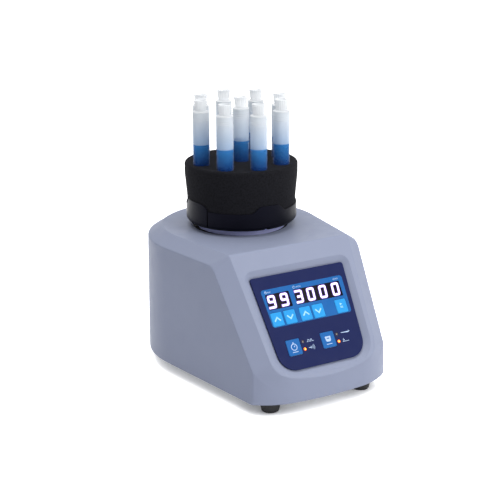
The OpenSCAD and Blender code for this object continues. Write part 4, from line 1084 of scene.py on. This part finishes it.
def make_foam():
    """Foam block: soft edges, a slight taper and nine round holes."""
    _, radius, foot, top = span("foam_insert")
    inner, outer = RETAINER_R - RETAINER_WALL - FOAM_GAP, radius - FOAM_GAP
    profile = soften([
        (0, foot, 0), (inner - 1.8, foot, 0.6), (inner, foot + 1.2, 0.8), (inner, TAB_TOP - 1, 20),
        (outer, top - FOAM_SHOULDER, 40), (outer, top, 2.4), (0, top, 0),
    ], 8)
    mesh = lathe("foam_block", profile, HEAD, 192)
    block = add_object("foam_block", mesh, FOAM, "head", ["foam_insert"])
    _, tube_r, tube_foot, _ = span("tube_1")
    hole_r, hole_low = tube_r + HOLE_GAP, tube_foot - HOLE_GAP
    wide, above = hole_r + HOLE_FLARE, top + HOLE_ABOVE
    hole = round_bottom(hole_r, hole_low) + soften([
        (hole_r, hole_low + hole_r, 0), (hole_r, top + 0.03, HOLE_EDGE_R), (wide, top + 0.05, 0),
        (wide, above, 0), (0, above, 0),
    ], 4)[1:]
    for number in TUBES:
        boolean(block, lathe("hole", hole, span("tube_%d" % number)[0], 48))
    crisp(block, 50)


RIM_DROP, RIM_GAP, FLANGE_T = 1.2, 0.06, 1.0
RIDGES = (9.4, 7.2, 5.4, 3.6)
RIDGE_SHAPE = ((0, -0.6), (0.2, -0.2), (0.2, 0.2), (0, 0.6))
TUBE_WALL, TUBE_BOTTOM, SAMPLE_GAP = 0.8, 1, 0.06
MENISCUS = ((0, 0.7), (-0.44, 0.25), (-1.34, 0))
NECK_R, KNOB_R = 4.9, 6.3
PLUG_GAP = 0.05
RIBS, RIB_H = 20, 0.2


def make_tube(number):
    """Round-bottomed tube with four fine ridges under its rim, and the sample in it."""
    body = "tube_%d" % number
    centre, outer, foot, high = span(body)
    top = high - RIM_DROP
    inner = outer - TUBE_WALL
    ridges = [(outer + out, top - drop + up) for drop in RIDGES for out, up in RIDGE_SHAPE]
    outside = round_bottom(outer, foot) + ridges + [(outer, top - 0.2), (outer - 0.2, top)]
    floor = foot + TUBE_BOTTOM
    inside = [(inner + 0.1, top), (inner, top - 0.3), (inner, floor + inner)]
    profile = outside + inside + round_bottom(inner, floor)[::-1][1:]
    mesh = lathe(body, profile, centre, 48)
    crisp(add_object(body + "_shell", mesh, TUBE, body, [body]), 60)
    fill = inner - SAMPLE_GAP
    sample = round_bottom(fill, floor + SAMPLE_GAP) + [(fill + out, LIQUID_Z + up) for out, up in MENISCUS]
    mesh = lathe("sample", sample + [(0, LIQUID_Z - 0.05)], centre, 48)
    add_object("sample_%d" % number, mesh, LIQUID, body)


def make_cap(number):
    """Stopper: a plug in the bore, a thin flange on the tube's rim and a ribbed knob with a dimple."""
    body = "cap_%d" % number
    centre, _, foot, top = span(body)
    _, tube_r, _, tube_top = span("tube_%d" % number)
    seat = tube_top - RIM_DROP + RIM_GAP
    flange = seat + FLANGE_T
    plug = tube_r - TUBE_WALL - PLUG_GAP
    profile = soften([
        (0, foot, 0), (plug - 0.5, foot, 0.3), (plug, foot + 1, 0.3), (plug, seat, 0),
        (tube_r, seat, 0.2), (tube_r, flange, 0.5), (NECK_R, flange + 0.4, 0.6), (KNOB_R, top, 0.7),
        (KNOB_R - 1.2, top, 0.4), (KNOB_R - 1.9, top - 3.2, 0.6), (0, top - 3.4, 0),
    ], 3)

    def ribbed(r, z, a):
        on_knob = flange + 0.6 < z < top - 0.5 and r > NECK_R - 0.1
        return r + (RIB_H * math.cos(RIBS * a) if on_knob else 0)

    mesh = lathe(body, profile, centre, 80, ribbed)
    crisp(add_object(body + "_stopper", mesh, CAP, body, [body]), 50)


WIRE_R, SPRING_TURNS, PRESS_TRAVEL = 0.5, 3.5, 1.5
WIRE_RING = [(math.cos(math.radians(a)), math.sin(math.radians(a))) for a in range(0, 360, 36)]
SPRING_STEPS = 98


def make_spring():
    """Coil spring between the bearing and the head's hub."""
    centre, radius, foot, top = span("touch_spring")
    coil_r = radius - WIRE_R
    rings = []
    for i in range(SPRING_STEPS + 1):
        a = 2 * math.pi * SPRING_TURNS * i / SPRING_STEPS
        level = lerp(foot + WIRE_R, top - WIRE_R, i / SPRING_STEPS)
        spokes = [(coil_r + WIRE_R * c, level + WIRE_R * s) for c, s in WIRE_RING]
        rings.append([
            Vector((centre[0] + r * math.cos(a), centre[1] + r * math.sin(a), z)) * MM for r, z in spokes
        ])
    mesh = stack("head_spring", rings)
    spring = add_object("head_spring", mesh, STEEL, "bearing", ["touch_spring"])
    spring.data.set_sharp_from_angle(angle=math.radians(50))
    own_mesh(spring)


FOOT_R, FOOT_BORE_R, FOOT_HOLE_R, FOOT_BORE_Z = 9.5, 4.2, 2.2, 5


def make_feet():
    low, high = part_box("rubber_feet")
    xs, ys = [(a / MM + FOOT_R, b / MM - FOOT_R) for a, b in ((low.x, high.x), (low.y, high.y))]
    top = high.z / MM
    profile = soften([
        (FOOT_BORE_R, 0, 0.4), (FOOT_R - 1.6, 0, 1.4), (FOOT_R - 0.6, 4.5, 3), (FOOT_R, top, 0.3),
        (FOOT_HOLE_R, top, 0.1), (FOOT_HOLE_R, FOOT_BORE_Z, 0.2), (FOOT_BORE_R, FOOT_BORE_Z, 0.2),
    ], 5, closed=True)
    for i, x in enumerate(xs):
        for k, y in enumerate(ys):
            mesh = lathe("foot", profile, (x, y), 64)
            piece = add_object("foot_%d%d" % (i + 1, k + 1), mesh, RUBBER, "housing")
            if (i, k) == (0, 0):
                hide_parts("rubber_feet")
            crisp(piece, 50)


# Carried-over CAD nodes

CARRIED = (
    (ZINC, ("base_plate", "motor_plate", "eccentric_hub")),
    (STEEL, ("m4_screws", "m3_screws", "head_screws", "hub_clip", "guide_pins")),
    (STEEL, ("motor_bearings", "motor_rotor", "head_bearing")),
    (ALUMINIUM, ("motor_posts", "guide_plate", "head_hub")),
    (RUBBER, ("motor_isolators", "splash_boot")),
    (BOARD, ("control_board", "power_board")),
    (LENS, ("time_display", "speed_display")),
    (BLACK, ("power_inlet", "touch_switch")),
    (FILM, ("membrane_circuit",)), (BRASS, ("inlet_pins",)),
    (ROCKER, ("power_rocker",)), (MOTOR, ("motor_can",)),
)
SOFT_EDGES = {"power_inlet": 0.5, "power_rocker": 0.6, "base_plate": 0.3}
SOFT_EDGE_ANGLE = math.radians(40)


def dress_nodes():
    for material, names in CARRIED:
        for name in names:
            NODES[name].data.materials.clear()
            NODES[name].data.materials.append(material)
    for name, width in SOFT_EDGES.items():
        bevel = NODES[name].modifiers.new("edge", "BEVEL")
        bevel.width = width * MM
        bevel.segments = 2
        bevel.limit_method = "ANGLE"
        bevel.angle_limit = SOFT_EDGE_ANGLE
        bevel.harden_normals = True


# Floor, light and background. The floor glows less where it is shaded: how much, within what reach in
# metres, and over what share of open sky the change runs
FLOOR_HALF = 4.0
FLOOR_NEAR, FLOOR_FAR = 0.12, 1.0
SHADE_REACH = 0.024
SHADE_FROM, SHADE_TO = 0.22, 0.72
FLOOR_MATTE, FLOOR_BOUNCE = (0.9, 0.9, 0.91, 1), (0.82, 0.82, 0.83, 1)
FILL_COLOUR, FILL_LEVEL = (0.93, 0.95, 1.0, 1), 0.46
LAMP_AIM = (0, 0, 0.1)


def shown(tree):
    """1 for what the camera sees directly, mirrored or through clear plastic, 0 for light on its way."""
    path = add_node(tree, "LightPath", {}).outputs
    share = path["Is Camera Ray"]
    for kind in ("Is Glossy Ray", "Is Transmission Ray"):
        share = add_node(tree, "Math", {0: share, 1: path[kind]}, operation="MAXIMUM").outputs[0]
    return share


def show(tree, output, lit, seen):
    """Ends a tree with one shader for light on its way and another for what is shown."""
    pick = add_node(tree, "MixShader", {"Fac": shown(tree), 1: lit.outputs[0], 2: seen.outputs[0]})
    add_node(tree, output, {"Surface": pick.outputs[0]})


def make_floor():
    """White floor that shows the object's shadow near it and blends into the backdrop further out."""
    verts = [(s * FLOOR_HALF, t * FLOOR_HALF, 0) for s, t in RING]
    floor = new_object("floor", mesh_from("floor", verts, [(0, 1, 2, 3)]))
    material = bpy.data.materials.new("white_floor")
    material.use_nodes = True
    tree = material.node_tree
    tree.nodes.clear()
    open_share = add_node(tree, "AmbientOcclusion", {"Distance": SHADE_REACH}).outputs["AO"]
    strength = ranged(
        tree, open_share, SHADE_FROM, SHADE_TO, FLOOR_NEAR, FLOOR_FAR, interpolation_type="SMOOTHSTEP")
    lift = add_node(tree, "Emission", {"Color": WHITE, "Strength": strength})
    matte = add_node(tree, "BsdfDiffuse", {"Color": FLOOR_MATTE})
    seen = add_node(tree, "AddShader", {0: matte.outputs[0], 1: lift.outputs[0]})
    show(tree, "OutputMaterial", add_node(tree, "BsdfDiffuse", {"Color": FLOOR_BOUNCE}), seen)
    floor.data.materials.append(material)


def area_light(name, place, size, power):
    """Square lamp aimed at the object."""
    data = bpy.data.lights.new(name, "AREA")
    data.shape = "RECTANGLE"
    data.size = data.size_y = size
    data.energy = power
    lamp = new_object(name, data)
    aim = Vector(LAMP_AIM) - Vector(place)
    lamp.matrix_world = Matrix.Translation(place) @ aim.to_track_quat("-Z", "Y").to_matrix().to_4x4()


def make_light():
    world = bpy.data.worlds.new("studio")
    bpy.context.scene.world = world
    world.use_nodes = True
    tree = world.node_tree
    tree.nodes.clear()
    fill = add_node(tree, "Background", {"Color": FILL_COLOUR, "Strength": FILL_LEVEL})
    show(tree, "OutputWorld", fill, add_node(tree, "Background", {"Color": WHITE, "Strength": 1.0}))
    area_light("key_light", (0.65, -1.4, 1.0), 1.0, 16.5)
    area_light("top_light", (0.0, 0.15, 1.7), 1.4, 17)
    bpy.context.scene.view_settings.view_transform = "Standard"


for make in (
    make_camera, make_housing, make_overlay, make_displays, make_keys, make_labels, make_indicators,
    make_platform, make_retainer, make_foam,
):
    make()
for tube_number in TUBES:
    make_tube(tube_number)
    make_cap(tube_number)
for make in (make_spring, make_feet, dress_nodes, make_floor, make_light):
    make()


def corners(box):
    return [[round(c, 5) for c in corner] for corner in box]
